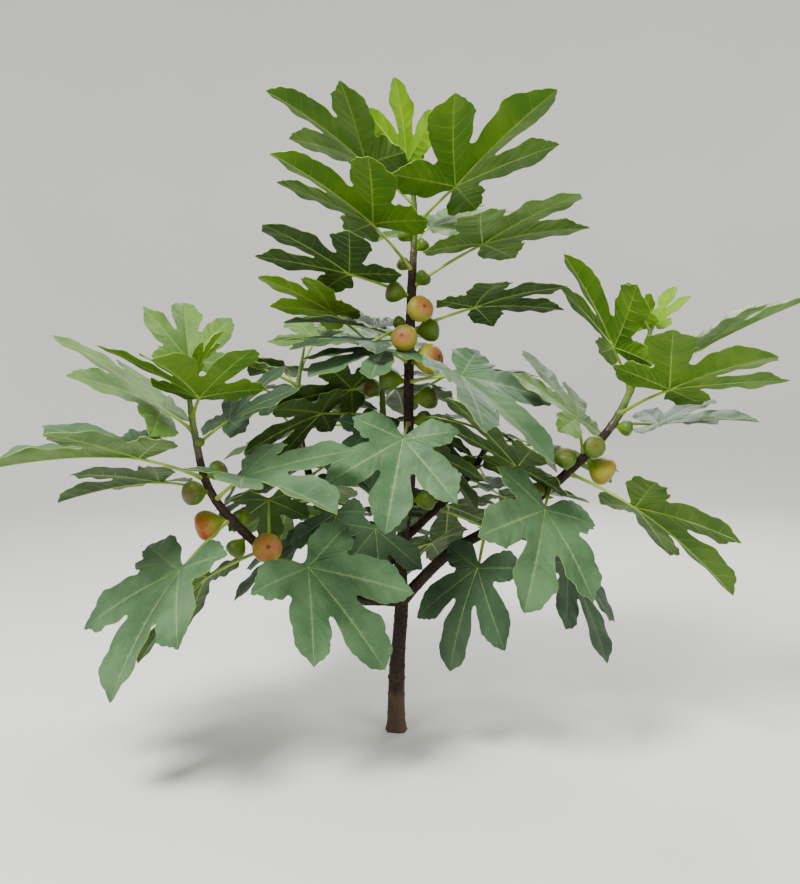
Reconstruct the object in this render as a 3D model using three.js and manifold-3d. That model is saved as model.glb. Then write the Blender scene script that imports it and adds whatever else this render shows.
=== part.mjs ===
// A young common fig tree in fruit, a little over a metre tall: one leaning trunk, five boughs that
// curve out and up from it, and broad lobed leaves and figs on every shoot.
// Units are millimetres and degrees. +Z is up, -Y faces the viewer, and the origin is the middle of
// the flat cut under the trunk, level with the ground.
// Bearings turn from +X towards +Y, and rise is the angle above level.

import * as THREE from 'three';
import { mergeVertices } from 'three/addons/utils/BufferGeometryUtils.js';
import Module from 'manifold-3d';

const wasm = await Module();
wasm.setup();

// Clear gap between a limb and whatever grows from it.
const CLEARANCE = 0.35;

// A tube's sides and the length of its steps, for wood and for leaf stalks.
const WOOD_SIDES = 8;
const WOOD_STEP = 42;
const STALK_SIDES = 3;
const STALK_STEPS = 2;

// A leaf stalk: its radius where it leaves the wood, where it meets the blade and at its far end
// under the blade; how far it runs under the blade and how much it arches, as fractions of the
// lengths of the blade and of the stalk.
const STALK_ROOT = 4.8;
const STALK_END = 2.7;
const STALK_POINT = 1.62;
const STALK_UNDER_BLADE = 0.09;
const STALK_ARCH = 0.05;

// A blade's thickness as a fraction of its length, its droop towards the tips, and how far the edges
// of each lobe stand above the vein of that lobe.
const BLADE_THICKNESS = 0.013;
const BLADE_DROOP = 0.10;
const LOBE_KEEL = 0.10;

// The middle lobe of a blade, and the lobes on each side of it. The turn is the angle from the
// midrib, reach and width (half of it) are fractions of the blade's length, and the gap is how far
// out the cut between this lobe and the next begins.
const LOBES = {
  middle: { turn: 0, reach: 1.0, width: 0.2, gap: 0.4, gapTurn: 21 },
  side: { turn: 43, reach: 0.87, width: 0.17, gap: 0.3, gapTurn: 72 },
  base: { turn: 103, reach: 0.52, width: 0.15 },
};

// Points round the edge of each lobe: how far along the lobe, and how far to either side of its
// vein as a fraction of the lobe's width. A minus sign is the side that is nearer the blade's tip.
const MIDDLE_EDGE = [[0.9, 0.66], [0.7, 1]];
const SIDE_EDGE = [[0.8, -0.86], [1, 0], [0.76, 0.98]];
const BASE_EDGE = [[0.78, -0.86], [1, 0], [0.7, 1], [0.36, 1]];

// How far along each lobe the middle of its vein lies, and the notch at the stalk, cut back from it.
const MID_VEIN = 0.52;
const NOTCH_REACH = 0.05;

// How much one leaf's lobes differ from the next leaf's: in reach, in the depth of the gaps between
// them, and in spread.
const VARY_REACH = 0.06;
const VARY_GAP = 0.2;
const VARY_TURN = 4;

// A fig's outline as radius and height, both in fractions of its width, and its number of sides.
const FIG_SIDES = 6;
const FIG_OUTLINE = [[0, 0], [0.11, 0.02], [0.34, 0.4], [0.5, 0.72], [0.36, 1.02], [0, 1.08]];
const FIG_SUNK = 1.5;

// A fig this near in bearing to its station's leaf stalk sits in the crook of it, joined to its root.
const SAME_CROOK = 66;

// Colour and roughness of wood, of leaves above and below the height where the sun shines through
// them, and of unripe and ripe figs.
const FINISHES = {
  bark: { color: 0x4a3528, roughness: 0.9 },
  sunlitLeaf: { color: 0x5f8a3a, roughness: 0.6 },
  shadedLeaf: { color: 0x4a7048, roughness: 0.6 },
  greenFig: { color: 0x7f9440, roughness: 0.5 },
  ripeFig: { color: 0xc98a52, roughness: 0.5 },
};
const SUNLIT = 620;

// Every leaf draws its differences from a stream of its own, numbered from this by limb and station.
const SEED = 100;

// Each limb: its route from where it starts inside the trunk to the tip of its shoot, its radius at
// distances along that route, and how much of it is woody. The rest is the stem of its leafy top.
const LIMBS = {
  leader: {
    route: [[0, 0, 0], [2, 0, 110], [9, 0, 216], [7, 0, 290], [23, 0, 415], [20, 0, 500], [21, 0, 610],
      [25, 0, 720], [29, 0, 830], [24, 0, 902]],
    girth: [[0, 16.5], [20, 14.4], [90, 12.6], [150, 10.9], [216, 10.7], [300, 9.2], [450, 8], [720, 7.2],
      [780, 5.4], [880, 4], [905, 1.8]],
    woody: 757,
  },
  right: {
    route: [[9, 0, 216], [86, -15, 296], [187, -40, 361], [270, -55, 433], [333, -60, 503],
      [367, -60, 573], [393, -60, 660]],
    girth: [[0, 9.8], [60, 9], [200, 8], [400, 7], [500, 5.5], [580, 4.2], [610, 2]],
    woody: 430,
  },
  left: {
    route: [[-4, 0, 216], [-57, -40, 225], [-117, -80, 250], [-205, -130, 329], [-270, -150, 410],
      [-292, -150, 494], [-303, -150, 580]],
    girth: [[0, 8.6], [60, 8], [240, 7.4], [400, 6.2], [500, 4.6], [550, 2]],
    woody: 430,
  },
  back_left: {
    route: [[-4, 0, 281], [-52, 30, 304], [-141, 120, 381], [-177, 190, 534], [-164, 200, 640]],
    girth: [[0, 7.6], [60, 6.8], [300, 6], [430, 4], [480, 2]],
    woody: 290,
  },
  back: {
    route: [[6, 10, 345], [-14, 60, 405], [-23, 100, 520], [-28, 110, 640]],
    girth: [[0, 7], [60, 6.2], [200, 5.4], [290, 4], [315, 2]],
    woody: 150,
  },
  back_right: {
    route: [[9, 10, 312], [56, 60, 346], [130, 130, 410], [175, 185, 490], [185, 200, 560]],
    girth: [[0, 7.6], [60, 6.8], [240, 5.8], [300, 4], [330, 2]],
    woody: 235,
  },
};

// What grows at each station along a limb, a distance from the limb's start.
// A leaf: the bearing and rise of its stalk, the lengths of stalk and blade, the blade's turn away
// from the stalk, its pitch above level, its roll about the midrib and how far its sides cup up.
// A fig: the bearing and rise of its middle, its width, and 1 when ripe.
const STATIONS = {
  leader: [
    { at: 290, leaf: [55, 5, 90, 145, 70, -35, -5, 0.1] },
    { at: 380, figs: [[5, 0, 34, 0]] },
    { at: 505, leaf: [265, -10, 110, 155, -10, -50, -10, 0.2], figs: [[20, 10, 30, 0]] },
    { at: 540, leaf: [45, 25, 95, 180, -10, 5, 0, 0.1], figs: [[355, 10, 38, 0]] },
    { at: 570, leaf: [310, 5, 120, 190, 25, -35, 10, 0.2], figs: [[185, 10, 38, 0]] },
    { at: 600, leaf: [210, 25, 50, 150, 10, -10, -10, 0], figs: [[325, 10, 48, 1]] },
    { at: 630, leaf: [140, 20, 85, 155, 25, 10, -5, 0.2], figs: [[255, 15, 42, 1]] },
    { at: 650, leaf: [345, 20, 110, 160, -20, 15, -10, 0], figs: [[355, 5, 38, 0]] },
    { at: 660, leaf: [210, -20, 75, 165, -35, 5, -5, 0], figs: [[150, 15, 22, 0]] },
    { at: 675, figs: [[295, 15, 42, 1]] },
    { at: 705, leaf: [185, 20, 105, 180, 40, 25, 5, 0], figs: [[190, 15, 34, 0]] },
    { at: 720, leaf: [345, 30, 130, 200, -35, 20, 0, 0], figs: [[350, 40, 26, 0]] },
    { at: 745, leaf: [220, 40, 105, 200, 0, 30, 0, 0.2], figs: [[170, 40, 22, 0]] },
    { at: 775, figs: [[355, 40, 22, 0]] },
    { at: 790, leaf: [70, 25, 80, 190, -10, 25, 0, 0], figs: [[190, 40, 24, 0]] },
    { at: 815, leaf: [335, 40, 90, 210, -10, 40, -10, 0.2], figs: [[290, 30, 16, 0]] },
    { at: 850, leaf: [160, 40, 105, 190, 35, 40, 10, 0.2] },
    { at: 880, leaf: [180, 75, 35, 130, 80, 70, -40, 0] },
    { at: 895, leaf: [20, 60, 25, 70, 0, 60, 0, 0.2] },
  ],
  right: [
    { at: 180, leaf: [255, -35, 80, 160, -45, -65, -10, 0] },
    { at: 240, leaf: [345, -45, 110, 160, -30, -55, -10, 0] },
    { at: 285, leaf: [195, 50, 60, 190, 30, 40, -10, 0], figs: [[250, 30, 24, 0]] },
    { at: 305, leaf: [255, -20, 75, 180, 0, -40, -40, 0.2] },
    { at: 340, leaf: [340, -25, 115, 200, 20, -35, -20, 0.2], figs: [[250, 55, 34, 0]] },
    { at: 375, leaf: [190, 80, 60, 150, -55, 50, 10, 0], figs: [[350, -35, 44, 1]] },
    { at: 390, figs: [[270, 15, 34, 0]] },
    { at: 440, leaf: [25, 0, 90, 150, -40, 10, 10, 0.2], figs: [[350, -10, 25, 0]] },
    { at: 460, leaf: [315, 25, 95, 190, -10, 20, -20, 0.2] },
    { at: 500, leaf: [225, 55, 80, 165, -15, 60, -10, 0.2] },
    { at: 515, leaf: [10, 25, 120, 170, -30, 30, 5, 0.3] },
    { at: 580, leaf: [40, 55, 35, 75, 0, 55, 0, 0.2] },
    { at: 595, leaf: [200, 60, 25, 60, 0, 65, 0, 0.2] },
  ],
  left: [
    { at: 240, leaf: [310, 0, 90, 180, 30, -45, 35, 0.2] },
    { at: 260, leaf: [180, -25, 95, 170, -5, -45, 10, 0], figs: [[285, 15, 44, 1]] },
    { at: 305, figs: [[105, 30, 30, 0]] },
    { at: 330, leaf: [215, -40, 105, 200, 15, -45, 5, 0.2], figs: [[190, -15, 44, 1]] },
    { at: 365, leaf: [315, 30, 80, 180, 5, -5, 10, 0.4] },
    { at: 380, leaf: [150, 5, 100, 160, 25, -5, 15, 0.2], figs: [[225, 0, 36, 0]] },
    { at: 400, leaf: [205, 20, 100, 200, -5, 5, 0, 0.4], figs: [[340, 30, 30, 0]] },
    { at: 450, leaf: [50, 30, 70, 130, -10, 45, 0, 0], figs: [[300, 25, 14, 0]] },
    { at: 470, leaf: [170, 35, 60, 190, 10, 40, -5, 0] },
    { at: 490, leaf: [295, 35, 55, 170, -35, 25, 0, 0.4] },
    { at: 500, leaf: [105, 60, 85, 120, 0, 55, 10, 0.3] },
    { at: 540, leaf: [350, 55, 30, 65, 0, 60, 0, 0.2] },
    { at: 295, figs: [[200, -50, 30, 0]] },
  ],
  back_left: [
    { at: 150, leaf: [175, -40, 70, 150, 25, -35, 0, 0.1] },
    { at: 205, leaf: [80, 0, 95, 180, 5, -10, 0, 0.1], figs: [[60, 30, 34, 0]] },
    { at: 260, leaf: [245, -10, 75, 150, -25, -20, 15, 0.1], figs: [[215, 15, 30, 0]] },
    { at: 330, leaf: [15, 5, 85, 160, 5, -15, 0, 0.1] },
    { at: 370, leaf: [140, 20, 95, 185, 10, 0, 0, 0.1] },
    { at: 410, leaf: [200, 25, 80, 160, 0, 10, 0, 0.1] },
    { at: 440, leaf: [70, 40, 85, 170, 0, 25, 0, 0.1] },
  ],
  back: [
    { at: 190, leaf: [190, 5, 105, 150, 10, -20, 35, 0], figs: [[215, 5, 32, 0]] },
    { at: 215, leaf: [75, 15, 90, 175, 10, -10, 0, 0.1] },
    { at: 240, leaf: [205, 0, 55, 145, 5, -5, 40, 0], figs: [[230, 5, 32, 0]] },
    { at: 275, leaf: [95, 30, 95, 180, 0, 15, 5, 0.1] },
    { at: 300, leaf: [190, 40, 105, 140, 10, 30, 15, 0] },
  ],
  back_right: [
    { at: 110, leaf: [80, -10, 90, 165, 10, -30, 0, 0.1], figs: [[110, 30, 34, 0]] },
    { at: 150, leaf: [330, 10, 75, 160, 30, -5, 0, 0.1] },
    { at: 195, leaf: [125, 5, 95, 175, 5, -15, 0, 0.1], figs: [[95, 35, 32, 0]] },
    { at: 250, leaf: [20, 5, 95, 180, 0, -20, 0, 0.1] },
    { at: 285, leaf: [165, 20, 80, 160, 10, 0, 0, 0.1] },
    { at: 310, leaf: [70, 30, 85, 175, 0, 10, 0, 0.1] },
  ],
};

const radians = THREE.MathUtils.degToRad;

// A repeatable stream of numbers from 0 to 1.
function seeded(seed) {
  let state = seed >>> 0;
  return () => {
    state = (state + 0x6d2b79f5) >>> 0;
    let mixed = Math.imul(state ^ (state >>> 15), state | 1);
    mixed ^= mixed + Math.imul(mixed ^ (mixed >>> 7), mixed | 61);
    return ((mixed ^ (mixed >>> 14)) >>> 0) / 4294967296;
  };
}

function direction(bearing, rise) {
  const level = Math.cos(radians(rise));
  return new THREE.Vector3(
    level * Math.cos(radians(bearing)), level * Math.sin(radians(bearing)), Math.sin(radians(rise)));
}

function geometryOf(points, faces) {
  const geometry = new THREE.BufferGeometry();
  geometry.setAttribute('position', new THREE.Float32BufferAttribute(points.flat(), 3));
  geometry.setIndex(faces.flat());
  return geometry;
}

function solidOf(geometry) {
  const bare = new THREE.BufferGeometry();
  bare.setAttribute('position', geometry.getAttribute('position'));
  bare.setIndex(geometry.getIndex());
  const merged = mergeVertices(bare, 1e-4);
  return new wasm.Manifold(new wasm.Mesh({
    numProp: 3,
    vertProperties: new Float32Array(merged.getAttribute('position').array),
    triVerts: new Uint32Array(merged.getIndex().array),
  }));
}

function geometryFrom(solid) {
  const mesh = solid.getMesh();
  const geometry = new THREE.BufferGeometry();
  geometry.setAttribute('position', new THREE.Float32BufferAttribute(mesh.vertProperties, 3));
  geometry.setIndex(Array.from(mesh.triVerts));
  geometry.computeVertexNormals();
  return geometry;
}

// The largest single body of a solid: scraps that a cut sheared off are dropped.
function largestBody(solid) {
  const bodies = solid.decompose();
  return bodies.reduce((best, body) => (body.volume() > best.volume() ? body : best));
}

// A closed tube through given middles, square to the way it runs, with a flat cap at each end.
function tube(middles, radii, sides, firstWay = null) {
  const last = middles.length - 1;
  const points = [];
  let side = null;
  middles.forEach((middle, i) => {
    const way = i === 0 && firstWay ? firstWay.clone()
      : middles[Math.min(i + 1, last)].clone().sub(middles[Math.max(i - 1, 0)]).normalize();
    side = side || new THREE.Vector3(1, 0, 0).cross(way).cross(way).negate();
    if (side.lengthSq() < 1e-6) side = new THREE.Vector3(0, 1, 0);
    side.addScaledVector(way, -side.dot(way)).normalize();
    const across = way.clone().cross(side);
    for (let k = 0; k < sides; k += 1) {
      const angle = (2 * Math.PI * k) / sides;
      const point = middle.clone()
        .addScaledVector(side, radii[i] * Math.cos(angle))
        .addScaledVector(across, radii[i] * Math.sin(angle));
      points.push(point.toArray());
    }
  });
  const faces = [];
  for (let i = 0; i < last; i += 1) {
    for (let k = 0; k < sides; k += 1) {
      const a = i * sides + k;
      const b = i * sides + ((k + 1) % sides);
      faces.push([a, b, b + sides], [a, b + sides, a + sides]);
    }
  }
  const top = last * sides;
  for (let k = 1; k < sides - 1; k += 1) {
    faces.push([0, k + 1, k], [top, top + k, top + k + 1]);
  }
  return solidOf(geometryOf(points, faces));
}

// A limb as a smooth curve with a radius at every distance along it.
class Limb {
  constructor({ route, girth, woody }) {
    this.curve = new THREE.CatmullRomCurve3(route.map((point) => new THREE.Vector3(...point)));
    this.curve.arcLengthDivisions = 400;
    this.length = this.curve.getLength();
    this.girth = girth;
    this.woody = woody;
  }

  pointAt(distance) {
    return this.curve.getPointAt(THREE.MathUtils.clamp(distance / this.length, 0, 1));
  }

  radiusAt(distance) {
    const next = this.girth.findIndex(([place]) => place >= distance);
    if (next === 0) return this.girth[0][1];
    if (next < 0) return this.girth.at(-1)[1];
    const [from, fromRadius] = this.girth[next - 1];
    const [to, toRadius] = this.girth[next];
    return THREE.MathUtils.lerp(fromRadius, toRadius, (distance - from) / (to - from));
  }

  // The length of limb between two distances, made fatter all round by grow.
  solid(from, to, grow = 0) {
    const steps = Math.max(1, Math.round((to - from) / WOOD_STEP));
    const middles = [];
    const radii = [];
    for (let i = 0; i <= steps; i += 1) {
      const distance = THREE.MathUtils.lerp(from, to, i / steps);
      middles.push(this.pointAt(distance));
      radii.push(this.radiusAt(distance) + grow);
    }
    const upright = from === 0 ? new THREE.Vector3(0, 0, 1) : null;
    return tube(middles, radii, WOOD_SIDES, upright);
  }
}

// The outline of one blade as points in fractions of its length, round from the tip by its left
// side, with the middle of each lobe's vein. Every leaf draws its own small differences.
function bladeShape(random) {
  const differ = (amount) => 1 + amount * (2 * random() - 1);
  const gapDepth = differ(VARY_GAP);
  const spread = VARY_TURN * (2 * random() - 1);
  const varied = (lobe) => ({ ...lobe, turn: lobe.turn + spread, reach: lobe.reach * differ(VARY_REACH) });
  const half = (sign) => {
    const side = varied(LOBES.side);
    const base = varied(LOBES.base);
    const on = (lobe) => ([along, aside]) => {
      const turn = radians(lobe.turn);
      const x = along * lobe.reach;
      const y = aside * lobe.width;
      return {
        u: x * Math.cos(turn) - y * Math.sin(turn),
        v: sign * (x * Math.sin(turn) + y * Math.cos(turn)),
        off: Math.abs(y),
      };
    };
    const gap = (lobe) => {
      const turn = radians(lobe.gapTurn + spread / 2);
      const reach = lobe.gap * gapDepth;
      return { u: reach * Math.cos(turn), v: sign * reach * Math.sin(turn), off: lobe.width };
    };
    return {
      edge: [
        ...MIDDLE_EDGE.map(on(LOBES.middle)), gap(LOBES.middle),
        ...SIDE_EDGE.map(on(side)), gap(LOBES.side),
        ...BASE_EDGE.map(on(base)),
      ],
      veins: [on(side)([MID_VEIN, 0]), on(base)([MID_VEIN, 0])],
    };
  };
  const left = half(1);
  const right = half(-1);
  const tip = { u: LOBES.middle.reach, v: 0, off: 0 };
  const notch = { u: -NOTCH_REACH, v: 0, off: 0 };
  const midrib = { u: MID_VEIN * LOBES.middle.reach, v: 0, off: 0 };
  return {
    edge: [tip, ...left.edge, notch, ...right.edge.reverse()],
    veins: [midrib, ...left.veins, ...right.veins.reverse()],
  };
}

// The stretch of the outline that belongs to each vein, in the order of the veins, counted from the
// blade's tip. The middle lobe's stretch runs past the end of the outline and on from its start. The
// notch and its two neighbours belong to the hub, where the stalk meets the blade.
const RIM_HALF = MIDDLE_EDGE.length + SIDE_EDGE.length + BASE_EDGE.length + 2;
const NOTCH = RIM_HALF + 1;
const RIM = 2 * NOTCH;
const MIDDLE_END = MIDDLE_EDGE.length + 1;
const SIDE_END = MIDDLE_END + SIDE_EDGE.length + 1;
const LOBE_STRETCHES = [
  [RIM - MIDDLE_END, RIM + MIDDLE_END],
  [MIDDLE_END, SIDE_END],
  [SIDE_END, NOTCH - 1],
  [NOTCH + 1, RIM - SIDE_END],
  [RIM - SIDE_END, RIM - MIDDLE_END],
];

// How far a point of the blade stands above the flat, as a fraction of the blade's length.
function bladeRise({ u, v, off }, cup) {
  return LOBE_KEEL * off + cup * Math.abs(v) - BLADE_DROOP * (u * u + v * v);
}

// One blade: two skins over the hub, the veins and the outline, and the edge between them.
function bladeSolid(base, blade, { turned, pitch, roll, cup }, random) {
  const ahead = direction(turned, pitch);
  const level = direction(turned + 90, 0);
  const up = ahead.clone().cross(level);
  const tilt = radians(roll);
  const aside = level.clone().multiplyScalar(Math.cos(tilt)).addScaledVector(up, Math.sin(tilt));
  const above = up.clone().multiplyScalar(Math.cos(tilt)).addScaledVector(level, -Math.sin(tilt));
  const { edge, veins } = bladeShape(random);
  const flat = [...edge, ...veins, { u: 0, v: 0, off: 0 }];
  const skin = (lift) => flat.map((spot) => base.clone()
    .addScaledVector(ahead, blade * spot.u)
    .addScaledVector(aside, blade * spot.v)
    .addScaledVector(above, blade * (bladeRise(spot, cup) + lift))
    .toArray());
  const hub = flat.length - 1;
  const faces = [[hub, NOTCH - 1, NOTCH], [hub, NOTCH, NOTCH + 1]];
  LOBE_STRETCHES.forEach(([from, to], i) => {
    const vein = RIM + i;
    for (let k = from; k < to; k += 1) faces.push([vein, k % RIM, (k + 1) % RIM]);
    faces.push([hub, from % RIM, vein], [hub, vein, to % RIM]);
  });
  const count = flat.length;
  const under = faces.map(([a, b, c]) => [a + count, c + count, b + count]);
  const wall = edge.flatMap((_, k) => {
    const next = (k + 1) % RIM;
    return [[k, k + count, next + count], [k, next + count, next]];
  });
  const points = [...skin(BLADE_THICKNESS / 2), ...skin(-BLADE_THICKNESS / 2)];
  return { solid: solidOf(geometryOf(points, [...faces, ...under, ...wall])), ahead, above };
}

// A leaf: its stalk arches from inside the limb to the blade and runs a little way under it.
function leafSolid(limb, at, leaf, random) {
  const [bearing, rise, stalk, blade, turn, pitch, roll, cup] = leaf;
  const root = limb.pointAt(at);
  const base = root.clone().addScaledVector(direction(bearing, rise), stalk);
  const way = { turned: bearing + turn, pitch, roll, cup };
  const { solid, ahead, above } = bladeSolid(base, blade, way, random);
  const bend = root.clone().lerp(base, 0.5).add(new THREE.Vector3(0, 0, STALK_ARCH * stalk));
  const end = base.clone().addScaledVector(above, -STALK_END / 2);
  const curve = new THREE.QuadraticBezierCurve3(root, bend, end);
  const middles = curve.getPoints(STALK_STEPS);
  middles.push(end.clone().addScaledVector(ahead, STALK_UNDER_BLADE * blade));
  const radii = middles.map((_, i) => THREE.MathUtils.lerp(STALK_ROOT, STALK_END, i / STALK_STEPS));
  radii[middles.length - 1] = STALK_POINT;
  return solid.add(tube(middles, radii, STALK_SIDES));
}

// A fig: a pear-shaped turned body whose narrow end is sunk into the limb's skin.
function figSolid(limb, at, [bearing, rise, width]) {
  const way = direction(bearing, rise);
  const profile = FIG_OUTLINE.map(([radius, height]) => new THREE.Vector2(radius, height));
  const geometry = new THREE.LatheGeometry(profile, FIG_SIDES);
  geometry.scale(width, width, width);
  const upright = new THREE.Vector3(0, 1, 0);
  geometry.applyQuaternion(new THREE.Quaternion().setFromUnitVectors(upright, way));
  const root = limb.pointAt(at).addScaledVector(way, limb.radiusAt(at) - FIG_SUNK);
  geometry.translate(root.x, root.y, root.z);
  return solidOf(geometry);
}

// The angle between two bearings, never more than half a turn.
function between(bearing, other) {
  return Math.abs(((bearing - other + 540) % 360) - 180);
}

const tree = new THREE.Group();

function addNode(name, solid, finish) {
  const material = new THREE.MeshStandardMaterial({ ...FINISHES[finish], metalness: 0 });
  const mesh = new THREE.Mesh(geometryFrom(solid), material);
  mesh.name = name;
  tree.add(mesh);
}

const limbs = Object.entries(LIMBS).map(([name, sizes]) => ({ name, limb: new Limb(sizes) }));
const clearings = limbs.map(({ limb }) => limb.solid(0, limb.woody + CLEARANCE, CLEARANCE));

function clearOfWood(solid) {
  return largestBody(clearings.reduce((left, clearing) => left.subtract(clearing), solid));
}

function united(solids) {
  return solids.reduce((whole, solid) => whole.add(solid));
}

// The wood of each limb: the trunk whole, and each bough cut clear of it.
limbs.forEach(({ name, limb }) => {
  const wood = limb.solid(0, limb.woody);
  if (name === 'leader') addNode('trunk', wood, 'bark');
  else addNode(`bough_${name}`, largestBody(wood.subtract(clearings[0])), 'bark');
});

// What grows from each limb: a leaf with the figs in its crook, figs by themselves, and past the
// wood the crown, which is the soft stem with all its leaves and figs.
limbs.forEach(({ name, limb }, index) => {
  const crown = [limb.solid(limb.woody, limb.length)];
  STATIONS[name].forEach(({ at, leaf, figs = [] }, k) => {
    const random = seeded(SEED * (index + 1) + k);
    const leaves = leaf ? [leafSolid(limb, at, leaf, random)] : [];
    const fruit = figs.map((fig) => figSolid(limb, at, fig));
    if (at > limb.woody) {
      crown.push(...leaves, ...fruit);
      return;
    }
    const inCrook = figs.map(([bearing]) => leaf !== undefined && between(bearing, leaf[0]) < SAME_CROOK);
    if (leaf) {
      const finish = limb.pointAt(at).z > SUNLIT ? 'sunlitLeaf' : 'shadedLeaf';
      const spray = [...leaves, ...fruit.filter((_, i) => inCrook[i])];
      addNode(`spray_${name}_${k + 1}`, clearOfWood(united(spray)), finish);
    }
    fruit.forEach((solid, i) => {
      if (inCrook[i]) return;
      const ripe = figs[i][3] === 1;
      addNode(`fig_${name}_${k + 1}`, clearOfWood(solid), ripe ? 'ripeFig' : 'greenFig');
    });
  });
  addNode(`crown_${name}`, clearOfWood(united(crown)), 'sunlitLeaf');
});

export default tree;
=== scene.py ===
"""A young fig tree in fruit, dressed for a studio picture.

Limbs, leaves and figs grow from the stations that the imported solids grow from, by the same rule and
the same seeded differences, and are carried on here to toothed blades, veins, bark relief and ribbed
figs. More leaves by that rule fill the shade inside the crown. Sizes are in millimetres and degrees,
and become metres where a mesh is made. +Z is up, -Y faces the viewer, and bearings turn from +X
towards +Y.
"""

import logging
import math
from dataclasses import dataclass, field
from enum import Enum
from typing import Iterator

import bpy
import numpy as np
from bpy.types import Material, Node, NodeSocket, NodeTree
from mathutils.bvhtree import BVHTree
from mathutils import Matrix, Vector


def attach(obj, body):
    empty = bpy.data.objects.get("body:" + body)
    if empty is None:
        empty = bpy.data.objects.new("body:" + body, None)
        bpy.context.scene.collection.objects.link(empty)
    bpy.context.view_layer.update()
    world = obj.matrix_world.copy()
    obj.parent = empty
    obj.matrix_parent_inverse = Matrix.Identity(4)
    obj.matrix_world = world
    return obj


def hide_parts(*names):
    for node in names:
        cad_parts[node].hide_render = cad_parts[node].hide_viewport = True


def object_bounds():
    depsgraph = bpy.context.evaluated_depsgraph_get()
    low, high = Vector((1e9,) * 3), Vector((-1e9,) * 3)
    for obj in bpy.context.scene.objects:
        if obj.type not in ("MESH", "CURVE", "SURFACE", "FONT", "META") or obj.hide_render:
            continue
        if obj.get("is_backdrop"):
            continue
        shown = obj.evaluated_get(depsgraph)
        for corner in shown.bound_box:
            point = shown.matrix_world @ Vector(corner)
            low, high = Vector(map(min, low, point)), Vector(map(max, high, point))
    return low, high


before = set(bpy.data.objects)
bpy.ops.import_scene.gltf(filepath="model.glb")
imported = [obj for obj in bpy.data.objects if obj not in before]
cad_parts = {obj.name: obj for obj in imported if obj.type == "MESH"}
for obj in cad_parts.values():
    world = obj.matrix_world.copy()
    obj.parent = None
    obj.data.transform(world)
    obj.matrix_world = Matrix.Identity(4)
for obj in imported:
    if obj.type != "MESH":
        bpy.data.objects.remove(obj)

CAD_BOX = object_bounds()
METRES = 0.001
BODY = "root"
log = logging.getLogger("fig_tree")

# A pair is two numbers, such as a range, and a triple is three, such as a place.
Pair = tuple[float, float]
Triple = tuple[float, float, float]
Array = np.ndarray


# Sizes and stations


@dataclass(frozen=True)
class Route:
    """A limb: the points it passes, its radius at distances along it, and how much of it is woody."""

    points: tuple[Triple, ...]
    girth: tuple[Pair, ...]
    woody: float


ROUTES = {
    "leader": Route(
        ((0, 0, 0), (2, 0, 110), (9, 0, 216), (7, 0, 290), (23, 0, 415), (20, 0, 500), (21, 0, 610),
         (25, 0, 720), (29, 0, 830), (24, 0, 902)),
        ((0, 16.5), (20, 14.4), (90, 12.6), (150, 10.9), (216, 10.7), (300, 9.2), (450, 8), (720, 7.2),
         (780, 5.4), (880, 4), (905, 1.8)),
        757),
    "right": Route(
        ((9, 0, 216), (86, -15, 296), (187, -40, 361), (270, -55, 433), (333, -60, 503), (367, -60, 573),
         (393, -60, 660)),
        ((0, 9.8), (60, 9), (200, 8), (400, 7), (500, 5.5), (580, 4.2), (610, 2)),
        430),
    "left": Route(
        ((-4, 0, 216), (-57, -40, 225), (-117, -80, 250), (-205, -130, 329), (-270, -150, 410),
         (-292, -150, 494), (-303, -150, 580)),
        ((0, 8.6), (60, 8), (240, 7.4), (400, 6.2), (500, 4.6), (550, 2)),
        430),
    "back_left": Route(
        ((-4, 0, 281), (-52, 30, 304), (-141, 120, 381), (-177, 190, 534), (-164, 200, 640)),
        ((0, 7.6), (60, 6.8), (300, 6), (430, 4), (480, 2)),
        290),
    "back": Route(
        ((6, 10, 345), (-14, 60, 405), (-23, 100, 520), (-28, 110, 640)),
        ((0, 7), (60, 6.2), (200, 5.4), (290, 4), (315, 2)),
        150),
    "back_right": Route(
        ((9, 10, 312), (56, 60, 346), (130, 130, 410), (175, 185, 490), (185, 200, 560)),
        ((0, 7.6), (60, 6.8), (240, 5.8), (300, 4), (330, 2)),
        235),
}


@dataclass(frozen=True)
class Leaf:
    """A leaf: bearing and rise of its stalk, lengths of stalk and blade, and how the blade is held."""

    bearing: float
    rise: float
    stalk: float
    blade: float
    turn: float
    pitch: float
    roll: float
    cup: float


@dataclass(frozen=True)
class Fig:
    """A fig: bearing and rise of its middle, its width, and whether it is ripe."""

    bearing: float
    rise: float
    width: float
    ripe: int


@dataclass(frozen=True)
class Station:
    """A place along a limb, with the leaf and the fig that grow there, and whether its leaf gets painted
    shade where others shade it.
    """

    at: float
    leaf: Leaf | None = None
    fig: Fig | None = None
    shaded: bool = False


# A station marked shaded has its leaf painted with shade: the dark tint stands in for the shade of the rest
# of the crown.
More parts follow.
